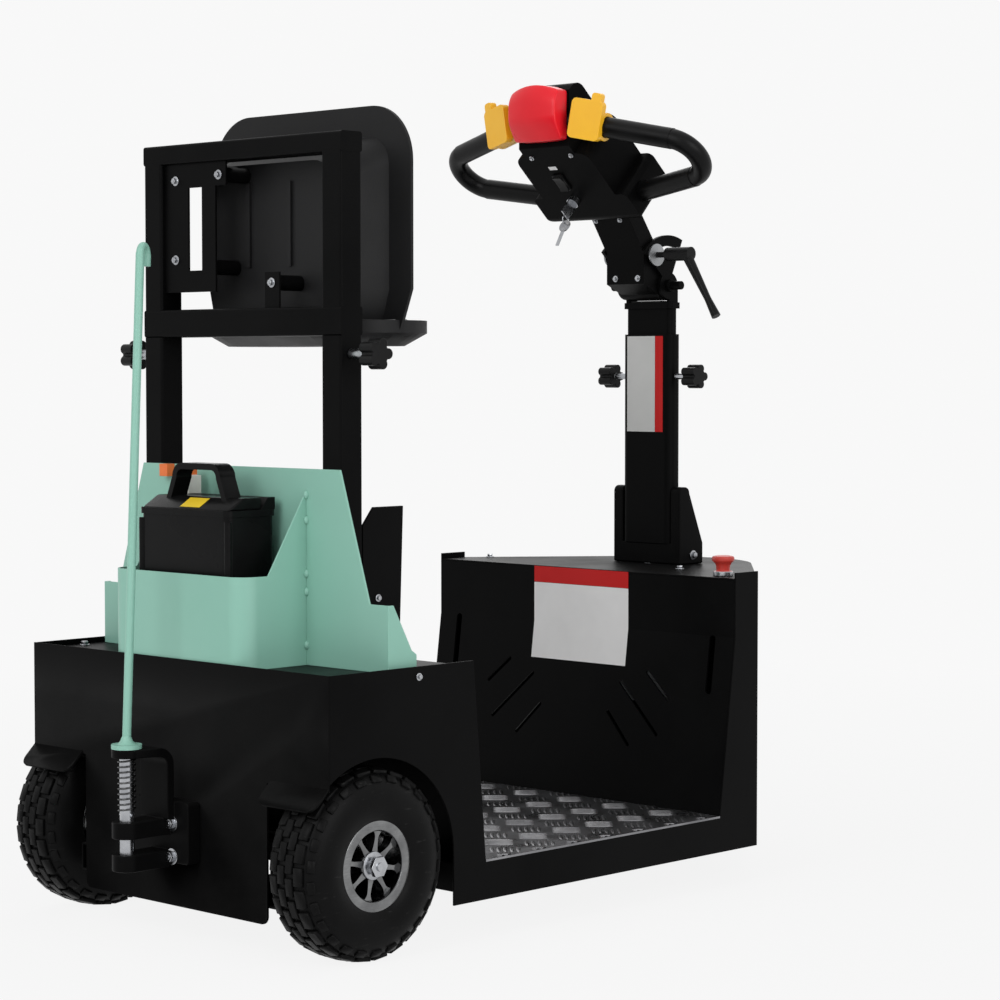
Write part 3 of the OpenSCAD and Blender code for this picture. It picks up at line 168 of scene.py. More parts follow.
# colour and shade are linear; rough gives the low and the high value
finishLooks = {
    "blackPaint": {"colour": (0.0020, 0.0020, 0.0021), "shade": (0.0034, 0.0034, 0.0035), "rough": (0.34, 0.48),
                   "specular": 0.035, "grain": 1500, "cloud": 5, "bump": 0.05, "dust": 0.06,
                   "dustColour": (0.075, 0.073, 0.07), "rubAndPaintedGlint": 0.10, "rubAndPaintedGlintColour": (0.02, 0.02, 0.02)},
    "mintPaint": {"colour": (0.250, 0.490, 0.400), "shade": (0.232, 0.466, 0.378), "rough": (0.36, 0.48),
                  "specular": 0.45, "grain": 1500, "cloud": 4, "bump": 0.04, "dust": 0.05,
                  "dustColour": (0.42, 0.47, 0.44), "rubAndPaintedGlint": 0.05, "rubAndPaintedGlintColour": (0.33, 0.50, 0.43)},
    "deckAlloy": {"colour": (0.29, 0.29, 0.30), "shade": (0.18, 0.18, 0.19), "rough": (0.26, 0.42), "metal": 1.0,
                  "specular": 0.5, "grain": 700, "cloud": 14, "bump": 0.12, "dust": 0.30,
                  "dustColour": (0.16, 0.16, 0.15), "rubAndPaintedGlint": 0.4, "rubAndPaintedGlintColour": (0.72, 0.72, 0.72), "streak": 12},
    "batteryCase": {"colour": (0.0040, 0.0040, 0.0042), "shade": (0.0058, 0.0058, 0.0060), "rough": (0.22, 0.34),
                    "specular": 0.07, "pebble": 1100, "cloud": 9, "bump": 0.06, "dust": 0.08,
                    "dustColour": (0.08, 0.08, 0.08), "rubAndPaintedGlint": 0.10, "rubAndPaintedGlintColour": (0.03, 0.03, 0.03)},
    "ivoryPlastic": {"colour": (0.72, 0.71, 0.67), "shade": (0.66, 0.65, 0.60), "rough": (0.36, 0.48),
                     "specular": 0.5, "grain": 900, "cloud": 30, "bump": 0.04, "dust": 0.05,
                     "dustColour": (0.45, 0.44, 0.40)},
    "orangePlastic": {"colour": (0.78, 0.17, 0.03), "shade": (0.70, 0.14, 0.025), "rough": (0.36, 0.48),
                      "specular": 0.5, "grain": 900, "cloud": 30, "bump": 0.04, "dust": 0.05,
                      "dustColour": (0.5, 0.3, 0.2)},
    "knobPlastic": {"colour": (0.0040, 0.0040, 0.0042), "shade": (0.0060, 0.0060, 0.0062), "rough": (0.34, 0.46),
                    "specular": 0.12, "pebble": 1500, "cloud": 25, "bump": 0.06, "dust": 0.08,
                    "dustColour": (0.08, 0.08, 0.08)},
    "redPlastic": {"colour": (0.84, 0.014, 0.026), "shade": (0.78, 0.011, 0.022), "rough": (0.26, 0.38),
                   "specular": 0.30, "grain": 800, "cloud": 12, "bump": 0.03, "dust": 0.03,
                   "dustColour": (0.6, 0.25, 0.25)},
    "seatMoulding": {"colour": (0.0080, 0.0080, 0.0085), "shade": (0.011, 0.011, 0.0115), "rough": (0.44, 0.58),
                     "specular": 0.16, "pebble": 800, "cloud": 7, "bump": 0.10, "dust": 0.10,
                     "dustColour": (0.07, 0.07, 0.07)},
    "seatVinyl": {"colour": (0.0095, 0.0095, 0.0100), "shade": (0.014, 0.014, 0.0145), "rough": (0.40, 0.54),
                  "specular": 0.40, "pebble": 520, "cloud": 8, "bump": 0.22, "dust": 0.08,
                  "dustColour": (0.07, 0.07, 0.07)},
    "castAlloy": {"colour": (0.40, 0.41, 0.42), "shade": (0.30, 0.31, 0.32), "rough": (0.42, 0.58), "metal": 1.0,
                  "specular": 0.5, "grain": 420, "cloud": 14, "bump": 0.22, "dust": 0.15,
                  "dustColour": (0.14, 0.14, 0.13)},
    "zincSteel": {"colour": (0.47, 0.48, 0.50), "shade": (0.34, 0.35, 0.37), "rough": (0.20, 0.34), "metal": 1.0,
                  "specular": 0.5, "grain": 900, "cloud": 60, "bump": 0.05, "dust": 0.06,
                  "dustColour": (0.25, 0.25, 0.24), "streak": 40},
    "headMoulding": {"colour": (0.0018, 0.0018, 0.0019), "shade": (0.0030, 0.0030, 0.0031), "rough": (0.34, 0.46),
                     "specular": 0.02, "pebble": 900, "cloud": 12, "bump": 0.08, "dust": 0.08,
                     "dustColour": (0.07, 0.07, 0.07)},
    "gripRubber": {"colour": (0.0028, 0.0028, 0.0030), "shade": (0.0042, 0.0042, 0.0044), "rough": (0.28, 0.40),
                   "specular": 0.11, "pebble": 1300, "cloud": 16, "bump": 0.10, "dust": 0.10,
                   "dustColour": (0.06, 0.06, 0.06)},
    "yellowPlastic": {"colour": (0.97, 0.52, 0.016), "shade": (0.93, 0.48, 0.014), "rough": (0.30, 0.42),
                      "specular": 0.5, "grain": 800, "cloud": 18, "bump": 0.03, "dust": 0.03,
                      "dustColour": (0.6, 0.45, 0.2)},
    # on the tyre, the rubbed marks and their light colour are painted glints of light on the tread blocks (painted
    # highlight)
    "tyreRubber": {"colour": (0.0026, 0.0026, 0.0027), "shade": (0.0044, 0.0044, 0.0045), "rough": (0.36, 0.52),
                   "specular": 0.07, "pebble": 900, "cloud": 11, "bump": 0.12, "dust": 0.04,
                   "dustColour": (0.07, 0.068, 0.065), "rubAndPaintedGlint": 0.5, "rubAndPaintedGlintColour": (0.060, 0.059, 0.058)},
    "wheelAlloy": {"colour": (0.24, 0.243, 0.246), "shade": (0.13, 0.132, 0.135), "rough": (0.14, 0.26),
                   "metal": 1.0, "specular": 0.5, "grain": 600, "cloud": 26, "bump": 0.05, "dust": 0.08,
                   "dustColour": (0.2, 0.2, 0.19), "streak": 26},
    "springSteel": {"colour": (0.10, 0.101, 0.103), "shade": (0.06, 0.061, 0.062), "rough": (0.26, 0.38),
                    "metal": 1.0, "specular": 0.5, "grain": 900, "cloud": 60, "bump": 0.05, "dust": 0.04,
                    "dustColour": (0.08, 0.08, 0.08)},
    "labelFilm": {"colour": (0.88, 0.87, 0.87), "shade": (0.83, 0.82, 0.82), "rough": (0.32, 0.44),
                  "specular": 0.15, "grain": 600, "cloud": 10, "bump": 0.02, "dust": 0.03,
                  "dustColour": (0.5, 0.5, 0.48)},
    "greyFilm": {"colour": (0.66, 0.66, 0.65), "shade": (0.61, 0.61, 0.60), "rough": (0.34, 0.46),
                 "specular": 0.15, "grain": 600, "cloud": 10, "bump": 0.02, "dust": 0.03,
                 "dustColour": (0.4, 0.4, 0.4)},
    "redFilm": {"colour": (0.60, 0.014, 0.014), "shade": (0.55, 0.011, 0.011), "rough": (0.32, 0.44),
                "specular": 0.15, "grain": 600, "cloud": 10, "bump": 0.02, "dust": 0.03,
                "dustColour": (0.5, 0.3, 0.28)},
    "yellowFilm": {"colour": (0.86, 0.60, 0.03), "shade": (0.80, 0.54, 0.02), "rough": (0.34, 0.46),
                   "specular": 0.15, "grain": 600, "cloud": 30, "bump": 0.02, "dust": 0.03,
                   "dustColour": (0.5, 0.4, 0.2)},
    "stopRed": {"colour": (0.54, 0.042, 0.030), "shade": (0.48, 0.036, 0.025), "rough": (0.34, 0.46),
                "specular": 0.5, "grain": 800, "cloud": 30, "bump": 0.03, "dust": 0.05,
                "dustColour": (0.5, 0.3, 0.28)},
}


finishShares = {"plainGrain": 900, "dustPatch": 1.7, "streakRange": (0.45, 0.8), "streakMost": 0.5,
                "bumpDeep": 0.001}


def makeFinish(name, look):
    material = bpy.data.materials.new(name)
    material.use_nodes = True
    tree = material.node_tree
    shader = tree.nodes["Principled BSDF"]
    grain = addNode(tree, "ShaderNodeGroup", {"Grain Scale": look.get("grain", finishShares["plainGrain"]),
                                              "Cloud Scale": look["cloud"]}, node_tree=surfaceGrain)
    dust = addNode(tree, "ShaderNodeGroup", {"Amount": look["dust"],
                                             "Patch Scale": look["cloud"] * finishShares["dustPatch"]},
                   node_tree=settledDust)
    colour = blendColour(tree, grain.outputs["Cloud"], look["colour"], look["shade"])
    if "streak" in look:
        streak = addNode(tree, "ShaderNodeGroup", {"Streak Scale": look["streak"]}, node_tree=drawnStreaks)
        share = ramp(tree, streak.outputs["Streak"], *finishShares["streakRange"], 0.0, finishShares["streakMost"])
        colour = blendColour(tree, share, colour, look["shade"])
    # rubbed marks in their own colour; on the tyre they are painted glints (painted highlight)
    if "rubAndPaintedGlint" in look:
        rubAndPaintedGlint = addNode(tree, "ShaderNodeGroup", {"Amount": look["rubAndPaintedGlint"]}, node_tree=rubAndPaintedGlintMarks)
        colour = blendColour(tree, rubAndPaintedGlint.outputs["Mask"], colour, look["rubAndPaintedGlintColour"])
    colour = blendColour(tree, dust.outputs["Mask"], colour, look["dustColour"])
    tree.links.new(colour, shader.inputs["Base Color"])
    tree.links.new(ramp(tree, grain.outputs["Cloud"], 0.0, 1.0, *look["rough"]), shader.inputs["Roughness"])
    shader.inputs["Metallic"].default_value = look.get("metal", 0.0)
    shader.inputs["Specular IOR Level"].default_value = look["specular"]
    bump = addNode(tree, "ShaderNodeBump", {"Strength": look["bump"], "Distance": finishShares["bumpDeep"]})
    if "pebble" in look:
        pebble = addNode(tree, "ShaderNodeGroup", {"Cell Scale": look["pebble"]}, node_tree=pebbleSkin)
        tree.links.new(pebble.outputs["Height"], bump.inputs["Height"])
    else:
        tree.links.new(grain.outputs["Grain"], bump.inputs["Height"])
    tree.links.new(bump.outputs["Normal"], shader.inputs["Normal"])
    return material


finishes = {name: makeFinish(name, look) for name, look in finishLooks.items()}
print("finishes made:", len(finishes))

# finish of every CAD node, and how far its sharp edges are eased (mm)
nodeLooks = {
    "blackPaint": {"rear_panel": 1.0, "side_frame_left": 0.8, "side_frame_right": 0.8, "rear_deck": 0.8,
                   "rear_wall": 0, "chassis_frame": 0, "rear_axle": 0.6, "bulkhead": 0, "top_plate": 0.8,
                   "nose_cover": 0, "seat_posts": 0, "post_gussets": 0.8, "hitch_bracket": 1.5,
                   "seat_frame": 0, "seat_plates": 0, "column_base": 2.5, "column_outer": 0,
                   "drive_fork": 0, "column_inner": 0, "tilt_pin": 0.8, "head_arm": 2.5},
    "mintPaint": {"battery_box": 0.7, "back_plate": 0.8, "pull_rod": 0},
    "deckAlloy": {"deck_plate": 0},
    "batteryCase": {"battery": 2.5, "battery_handle": 4.0},
    "ivoryPlastic": {"battery_terminals": 0.6},
    "knobPlastic": {"seat_knobs": 1.2, "column_knobs": 1.2, "clamp_lever": 1.0, "rocker_switch": 0.6},
    "stopRed": {"emergency_stop": 0},
    "seatMoulding": {"seat_shell": 1.5},
    "seatVinyl": {"back_pad": 0, "perch_pad": 0},
    "castAlloy": {"drive_motor": 0, "drive_hub": 0},
    "zincSteel": {"tow_pin": 0.6, "key_switch": 0.4},
    "springSteel": {"hitch_spring": 0},
    "headMoulding": {"head_housing": 4.0},
    "gripRubber": {"handle_left": 0.05, "handle_right": 0.05},
    "redPlastic": {"reverse_pad": 0},
    "yellowPlastic": {"throttle_levers": 1.5},
    "tyreRubber": {"tyre_left": 0, "tyre_right": 0, "drive_tyre": 0},
    "wheelAlloy": {"rim_left": 0, "rim_right": 0},
}


# modelling helpers

mergeWithin = 0.00001  # metres, for what is spun
cadMergeWithin = 0.00002  # metres, for the loose triangles of a CAD node


def edgesOf(verts):
    return list(dict.fromkeys(edge for vert in verts for edge in vert.link_edges))


def geomOf(verts):
    return verts + edgesOf(verts) + list(dict.fromkeys(face for vert in verts for face in vert.link_faces))


def copyOfNode(node):
    bm = bmesh.new()
    bm.from_mesh(nodes[node].data)
    bmesh.ops.remove_doubles(bm, verts=bm.verts[:], dist=cadMergeWithin)
    return bm


# a profile turned all the way round, merged where it meets itself
def spinRound(bm, verts, edges, centre, axis, steps):
    bmesh.ops.spin(bm, geom=verts + edges, cent=centre, axis=axis, dvec=(0, 0, 0), angle=2 * math.pi, steps=steps,
                   use_merge=True)
    bmesh.ops.remove_doubles(bm, verts=bm.verts[:], dist=mergeWithin)


# copies of one sector's geometry, evenly round the wheel's axle
def repeatRound(bm, geom, count):
    bmesh.ops.spin(bm, geom=geom, cent=(0, 0, 0), axis=(0, 1, 0), dvec=(0, 0, 0),
                   angle=2 * math.pi * (count - 1) / count, steps=count - 1, use_duplicate=True)


# a round or hexagonal bar along the matrix's Z
def addBar(bm, sides, radius, depth, matrix):
    return bmesh.ops.create_cone(bm, cap_ends=True, segments=sides, radius1=radius, radius2=radius, depth=depth,
                                 matrix=matrix)["verts"]


def roundEdges(bm, edges, width, segments):
    bmesh.ops.bevel(bm, geom=edges, offset=width, offset_type="OFFSET", affect="EDGES", segments=segments,
                    profile=0.5, material=-1)


# makes the object, shades it smooth up to an angle and lets it ride
def settle(bm, name, finishName, body, smoothAngle=35, evenNormals=False, recalc=True):
    if recalc:
        bmesh.ops.recalc_face_normals(bm, faces=bm.faces[:])
    mesh = bpy.data.meshes.new(name)
    bm.to_mesh(mesh)
    bm.free()
    mesh.materials.append(finishes[finishName])
    for face in mesh.polygons:
        face.use_smooth = True
    mesh.set_sharp_from_angle(angle=math.radians(smoothAngle))
    piece = bpy.data.objects.new(name, mesh)
    scene.collection.objects.link(piece)
    if evenNormals:
        piece.modifiers.new("evenNormals", "WEIGHTED_NORMAL").keep_sharp = True
    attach(piece, body)
    return piece


# angles in degrees; from the wide width (mm) on, an edge gets the second number of segments
easing = {"flatAngle": 0.5, "sharpAngle": 38, "smoothAngle": 40, "wideFrom": 3, "segments": (2, 4)}


# a copy of a CAD node with its sharp edges eased
def easedCopy(node, finishName, width):
    bm = copyOfNode(node)
    bmesh.ops.dissolve_limit(bm, angle_limit=math.radians(easing["flatAngle"]), verts=bm.verts[:], edges=bm.edges[:])
    sharp = [edge for edge in bm.edges if len(edge.link_faces) == 2
             and edge.calc_face_angle(0.0) > math.radians(easing["sharpAngle"])]
    bmesh.ops.bevel(bm, geom=sharp, offset=width / 1000, offset_type="OFFSET", affect="EDGES",
                    segments=easing["segments"][width >= easing["wideFrom"]], profile=0.5, material=-1,
                    clamp_overlap=True)
    piece = settle(bm, node + "_eased", finishName, bodyOf[node], easing["smoothAngle"], evenNormals=True,
                   recalc=False)
    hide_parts(node)
    for tintName, inside in tintRows.get(node, []):
        piece.data.materials.append(finishes[tintName])
        for face in piece.data.polygons:
            if inside(face.center.x - rearPanelX, abs(face.center.y), face.center.z):
                face.material_index = len(piece.data.materials) - 1


# second finishes on a node, by station, distance from the middle and height (m)
tintRows = {
    "battery_terminals": [("orangePlastic", lambda station, aside, up: aside > 0.12 or up > 0.6435)],
    "seat_knobs": [("zincSteel", lambda station, aside, up: aside < 0.2465)],
    "column_knobs": [("zincSteel", lambda station, aside, up: aside < 0.0770)],
    "clamp_lever": [("castAlloy", lambda station, aside, up: aside < 0.0530)],
    "tow_pin": [("mintPaint", lambda station, aside, up: up > 0.2755)],
    "rear_axle": [("zincSteel", lambda station, aside, up: aside > 0.3105)],
}
for finishName, members in nodeLooks.items():
    for node, width in members.items():
        if width:
            easedCopy(node, finishName, width)
        for place in nodes[node].material_slots:
            place.link = "OBJECT"
            place.material = finishes[finishName]
print("CAD nodes dressed:", sum(len(members) for members in nodeLooks.values()))


# fasteners

# turns +Z to a direction and moves to a point
def aim(point, direction):
    return Matrix.Translation(point) @ Vector((0, 0, 1)).rotation_difference(Vector(direction)).to_matrix().to_4x4()


# shares of the width across flats; the washer's thickness is in metres
boltSizes = {"washerShare": 1.75, "headShare": 0.52, "washerThick": 0.0014, "washerSides": 28, "easeShare": 0.05,
             "easeSegments": 2, "threadShares": (0.3, 0.26), "threadSides": 20}


# hexagon head on a washer, with the thread's end standing out of a nut when asked
def addBolt(bm, point, direction, across, stub=0.0):
    place = aim(point, direction)
    head, thick = across * boltSizes["headShare"], boltSizes["washerThick"]
    washer = addBar(bm, boltSizes["washerSides"], across * boltSizes["washerShare"] / 2, thick,
                    place @ Matrix.Translation((0, 0, thick / 2)))
    hexagon = addBar(bm, 6, across / math.sqrt(3), head, place @ Matrix.Translation((0, 0, thick + head / 2)))
    roundEdges(bm, edgesOf(washer) + edgesOf(hexagon), across * boltSizes["easeShare"], boltSizes["easeSegments"])
    if stub:
        foot, tip = (across * share for share in boltSizes["threadShares"])
        bmesh.ops.create_cone(bm, cap_ends=True, segments=boltSizes["threadSides"], radius1=foot, radius2=tip,
                              depth=stub, matrix=place @ Matrix.Translation((0, 0, head + stub / 2)))


# station, left, up, facing, width across flats, thread end (mm)
boltRows = {
    "bodyBolts": ("chassis", [
        (166, -320, 379, (0, -1, 0), 6, 0), (166, 320, 379, (0, 1, 0), 6, 0), (75, 297, 385, (0, 0, 1), 9, 0),
        (-22, -25, 122, (-1, 0, 0), 13, 3), (-22, -25, 168, (-1, 0, 0), 13, 3),
        (924, 284, 474, (0, 0, 1), 8, 0), (938, -127, 474, (0, 0, 1), 8, 0),
        (192, -212.5, 478, (0, -1, 0), 6, 0), (192, 212.5, 478, (0, 1, 0), 6, 0),
        (88, -312.3, 131, (0, -1, 0), 22, 4), (88, 312.3, 131, (0, 1, 0), 22, 4)]),
    "baseBolts": ("steering", [(1036, -72, 489, (0, -1, 0), 9, 0), (1036, 72, 489, (0, 1, 0), 9, 0)]),
    "seatBolts": ("seat", [
        (132, 148, 1066, (-1, 0, 0), 8, 2), (132, 148, 952, (-1, 0, 0), 8, 2),
        (132, 52, 1071, (-1, 0, 0), 8, 2), (132, -62, 915, (-1, 0, 0), 8, 2)]),
    "armBolts": ("head", [
        (948, 20, 941, (-1, 0, 0), 6, 0), (948, -28, 941, (-1, 0, 0), 6, 0),
        (906, 26, 1034, (-0.829, 0, -0.559), 5, 0), (906, -26, 1034, (-0.829, 0, -0.559), 5, 0)]),
    "headScrews": ("head", [
        (768.7, 39.4, 1128.9, (-0.672, 0, -0.741), 5, 0), (768.7, -44.8, 1128.9, (-0.672, 0, -0.741), 5, 0)]),
}
for name, (body, rows) in boltRows.items():
    bm = bmesh.new()
    for station, left, up, facing, across, stub in rows:
        addBolt(bm, spot(station, left, up), facing, across / 1000, stub / 1000)
    settle(bm, name, "zincSteel", body)
print("fasteners set")


# small pieces

# a profile of (radius, height) in mm, turned about an upright axis
def turned(bm, station, left, profile, steps=40):
    start = spot(station, left, 0)
    verts = [bm.verts.new(start + Vector((radius / 1000, 0, height / 1000))) for radius, height in profile]
    edges = [bm.edges.new(pair) for pair in zip(verts, verts[1:])]
    spinRound(bm, verts, edges, start, (0, 0, 1), steps)


stopButton = {"place": (875, -268), "collarTop": 481.5,
              "profile": [(0, 474.2), (15, 474.2), (15.6, 475), (15.6, 480.4), (14.8, 481.4), (11.4, 481.6),
                          (10.6, 483), (11, 490), (13, 494), (16.6, 497), (17.6, 499.5), (17.4, 502.5),
                          (15.6, 504.6), (12.5, 505.4), (9, 504.4), (0, 503.8)]}
bm = bmesh.new()
turned(bm, *stopButton["place"], stopButton["profile"])
stopPiece = settle(bm, "stopButton", "stopRed", "chassis", 30)
stopPiece.data.materials.append(finishes["zincSteel"])
for face in stopPiece.data.polygons:
    face.material_index = int(face.center.z < stopButton["collarTop"] / 1000)
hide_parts("emergency_stop")

# coil of the tow pin, a fixed copy of the CAD spring; on the real hitch it is pressed together under the bracket's
# top when the pin is pulled up
bm = copyOfNode("hitch_spring")
springPiece = settle(bm, "pinSpring", "springSteel", "chassis", 50, recalc=False)
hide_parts("hitch_spring")
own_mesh(springPiece)

# weld where the pull rod stands on the pin's collar
rodFoot = {"place": (-81, 0), "profile": [(14, 281.2), (11, 283), (8.6, 286), (7.2, 290), (5.5, 292.5)]}
bm = bmesh.new()
turned(bm, *rodFoot["place"], rodFoot["profile"])
settle(bm, "rodWeld", "mintPaint", bodyOf["pull_rod"], 60)

# weld beads between the battery box and the back plate
beadRows = {"station": 120.4, "aside": 145.2, "heights": (621, 586, 512, 487, 413), "size": (4.5, 4.0, 6.0)}
bm = bmesh.new()
for side in (-1, 1):
    for height in beadRows["heights"]:
        beadMiddle = spot(beadRows["station"], side * beadRows["aside"], height)
        bmesh.ops.create_uvsphere(bm, u_segments=14, v_segments=8, radius=0.001,
                                  matrix=Matrix.Translation(beadMiddle) @ Matrix.Diagonal((*beadRows["size"], 1)))
settle(bm, "weldBeads", "mintPaint", "chassis", 60)

# raised middle of the battery's lid, sloping up from its rear edge
lidRise = {"outline": [(23, 599.8), (50, 616.6), (85, 616.6), (85, 599.8)], "aside": 93, "ease": 2.5, "segments": 3}
bm = bmesh.new()
lidSide = [bm.verts.new(spot(station, -lidRise["aside"], up)) for station, up in lidRise["outline"]]
made = bmesh.ops.extrude_face_region(bm, geom=[bm.faces.new(lidSide)])
bmesh.ops.translate(bm, vec=(0, 2 * lidRise["aside"] / 1000, 0),
                    verts=[item for item in made["geom"] if isinstance(item, bmesh.types.BMVert)])
roundEdges(bm, bm.edges[:], lidRise["ease"] / 1000, lidRise["segments"])
settle(bm, "lidRise", "batteryCase", "chassis", 40)

# round ribs at the battery's rear corners
ribRows = {"station": 23.5, "aside": 92.5, "radius": 5.5, "sides": 24, "low": 440, "high": 585}
bm = bmesh.new()
for side in (-1, 1):
    ribMiddle = spot(ribRows["station"], side * ribRows["aside"], (ribRows["low"] + ribRows["high"]) / 2)
    addBar(bm, ribRows["sides"], ribRows["radius"] / 1000, (ribRows["high"] - ribRows["low"]) / 1000,
           Matrix.Translation(ribMiddle))
settle(bm, "batteryRibs", "batteryCase", "chassis", 40)

# plug in the column's open end, under the tilting arm
columnPlug = {"station": (1003, 1027), "aside": 34, "up": (896, 905.6)}
bm = bmesh.new()
plugLow = spot(columnPlug["station"][0], -columnPlug["aside"], columnPlug["up"][0])
plugHigh = spot(columnPlug["station"][1], columnPlug["aside"], columnPlug["up"][1])
bmesh.ops.create_cube(bm, size=1, matrix=Matrix.Translation((plugLow + plugHigh) / 2)
                      @ Matrix.Diagonal((*(plugHigh - plugLow), 1)))
settle(bm, "columnPlug", "knobPlastic", bodyOf["column_inner"])

# spare key hanging on a ring from the lock
spareKey = {"bow": (816, 12, 1022), "lean": (-0.50, 0, -0.866), "bowRadius": 10.5, "bowSides": 24,
            "bladeWide": 6.0, "bladeLong": 27, "bladeSunk": 1, "thick": 2.0, "ring": (818, 12, 1033),
            "ringRadius": 7.0, "ringSteps": 36, "wire": 0.9, "wireSides": 10}
bm = bmesh.new()
keyPlace = aim(spot(*spareKey["bow"]), spareKey["lean"])
addBar(bm, spareKey["bowSides"], spareKey["bowRadius"] / 1000, spareKey["thick"] / 1000,
       keyPlace @ Matrix.Rotation(math.radians(90), 4, "Y"))
bladeMiddle = spareKey["bowRadius"] + spareKey["bladeLong"] / 2 - spareKey["bladeSunk"]
bmesh.ops.create_cube(bm, size=0.001, matrix=keyPlace @ Matrix.Translation((0, 0, bladeMiddle / 1000))
                      @ Matrix.Diagonal((spareKey["thick"], spareKey["bladeWide"], spareKey["bladeLong"], 1)))
ringMiddle = spot(*spareKey["ring"])
wireMiddle = ringMiddle + Vector((spareKey["ringRadius"] / 1000, 0, 0))
wire = bmesh.ops.create_circle(bm, cap_ends=False, segments=spareKey["wireSides"], radius=spareKey["wire"] / 1000,
                               matrix=Matrix.Translation(wireMiddle) @ Matrix.Rotation(math.radians(90), 4, "Z"))
spinRound(bm, wire["verts"], edgesOf(wire["verts"]), ringMiddle, (0, 1, 0), spareKey["ringSteps"])
settle(bm, "spareKey", "zincSteel", "head", 40)
print("small pieces set")


# chequered deck

# metres, and degrees for the turns; every second group is half a pitch on
deckTread = {"pitchX": 0.072, "pitchY": 0.0955, "barLong": 0.043, "barWide": 0.0062, "barHigh": 0.0016,
             "barGap": 0.0094, "barSunk": 0.0002, "bars": 5, "edge": 0.004, "startX": 0.0397, "startY": 0.084,
             "groups": ((-45, 0.0), (45, 0.5))}


def chequerBars():
    low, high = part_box("deck_plate")
    bar = bmesh.new()
    made = bmesh.ops.create_uvsphere(bar, u_segments=12, v_segments=6, radius=1)
    bmesh.ops.scale(bar, vec=(deckTread["barLong"] / 2, deckTread["barWide"] / 2, deckTread["barHigh"]),
                    verts=made["verts"])
    bmesh.ops.bisect_plane(bar, geom=bar.verts[:] + bar.edges[:] + bar.faces[:],
                           plane_co=(0, 0, -deckTread["barSunk"]), plane_no=(0, 0, 1), clear_inner=True)
    barMesh = bpy.data.meshes.new("deckBar")
    bar.to_mesh(barMesh)
    bar.free()
    bm = bmesh.new()
    columns = math.ceil((high.x - low.x) / deckTread["pitchX"]) + 1
    rows = math.ceil((high.y - low.y) / deckTread["pitchY"]) + 1
    for column in range(-1, columns):
        for row in range(-1, rows):
            for turn, shift in deckTread["groups"]:
                middle = Vector((low.x + (column + shift) * deckTread["pitchX"] + deckTread["startX"],
                                 low.y + (row + shift) * deckTread["pitchY"] + deckTread["startY"], high.z))
                for k in range(deckTread["bars"]):
                    aside = (k - (deckTread["bars"] - 1) / 2) * deckTread["barGap"]
                    place = (Matrix.Translation(middle) @ Matrix.Rotation(math.radians(turn), 4, "Z")
                             @ Matrix.Translation((0, aside, 0)))
                    first = len(bm.verts)
                    bm.from_mesh(barMesh)
                    bm.verts.ensure_lookup_table()
                    bmesh.ops.transform(bm, matrix=place, verts=bm.verts[first:])
    for corner, outward in ((low, (-1, 0, 0)), (low, (0, -1, 0)), (high, (1, 0, 0)), (high, (0, 1, 0))):
        bmesh.ops.bisect_plane(bm, geom=bm.verts[:] + bm.edges[:] + bm.faces[:],
                               plane_co=Vector(corner) - Vector(outward) * deckTread["edge"],
                               plane_no=outward, clear_outer=True)
    bpy.data.meshes.remove(barMesh)
    settle(bm, "deckBars", "deckAlloy", "chassis", 50, recalc=False)


chequerBars()
print("deck bars set")


# rear wheels

wheelCentre = (88, 280, 131)  # of the left wheel: station, left, up (mm)


# from the wheel's own middle to its place
def fitWheel(bm, side):
    station, left, up = wheelCentre
    bmesh.ops.transform(bm, matrix=Matrix.Translation(spot(station, left * side, up)), verts=bm.verts[:])


# an outline of (radius, distance along the axle) in mm, closed and turned about the axle
def turnedWheel(bm, outline, steps):
    verts = [bm.verts.new((radius / 1000, along / 1000, 0)) for radius, along in outline]
    edges = [bm.edges.new(pair) for pair in zip(verts, verts[1:] + verts[:1])]
    spinRound(bm, verts, edges, (0, 0, 0), (0, 1, 0), steps)


tyreShape = {
    # radius and half width (mm) from the bead to the crown
    "section": [(55, 34), (61, 39.5), (68, 43), (80, 45.6), (92, 46), (104, 44), (114, 39.5), (121.5, 33),
                (125, 25), (126.5, 12), (127, 0)],
    # reach from the axle, distance from the middle, lean in degrees, length, width, height,
    # and the shift on the left and on the right as a share of the pitch
    "blocks": [(128.3, 7.6, 2, 25, 13.0, 5.0, 0.0, 0.5), (125.9, 23.5, 8, 25, 15.0, 7.0, 0.5, 0.0),
               (117.3, 37.2, 48, 17, 11.0, 5.4, 0.0, 0.5)],
    "blockEase": 1.1, "pitches": 26, "steps": 78,
}


def makeTyre(name, node, body, side):
    bm = bmesh.new()
    half = tyreShape["section"]
    turnedWheel(bm, half + [(radius, -along) for radius, along in reversed(half[:-1])], tyreShape["steps"])
    bmesh.ops.recalc_face_normals(bm, faces=bm.faces[:])
    first = len(bm.verts)
    pitch = 2 * math.pi / tyreShape["pitches"]
    for reach, aside, lean, long, wide, high, *shifts in tyreShape["blocks"]:
        for hand, shift in zip((1, -1), shifts):
            place = (Matrix.Rotation(shift * pitch, 4, "Y")
                     @ Matrix.Translation((reach / 1000, hand * aside / 1000, 0))
                     @ Matrix.Rotation(math.radians(hand * lean), 4, "Z"))
            made = bmesh.ops.create_cube(bm, size=0.001, matrix=place @ Matrix.Diagonal((high, wide, long, 1)))
            roundEdges(bm, edgesOf(made["verts"]), tyreShape["blockEase"] / 1000, 1)
    bm.verts.ensure_lookup_table()
    repeatRound(bm, geomOf(bm.verts[first:]), tyreShape["pitches"])
    fitWheel(bm, side)
    piece = settle(bm, name, "tyreRubber", body, 45)
    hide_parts(node)


makeTyre("tyreLeft", "tyre_left", "wheel_left", 1)
makeTyre("tyreRight", "tyre_right", "wheel_right", -1)
print("tyres set")

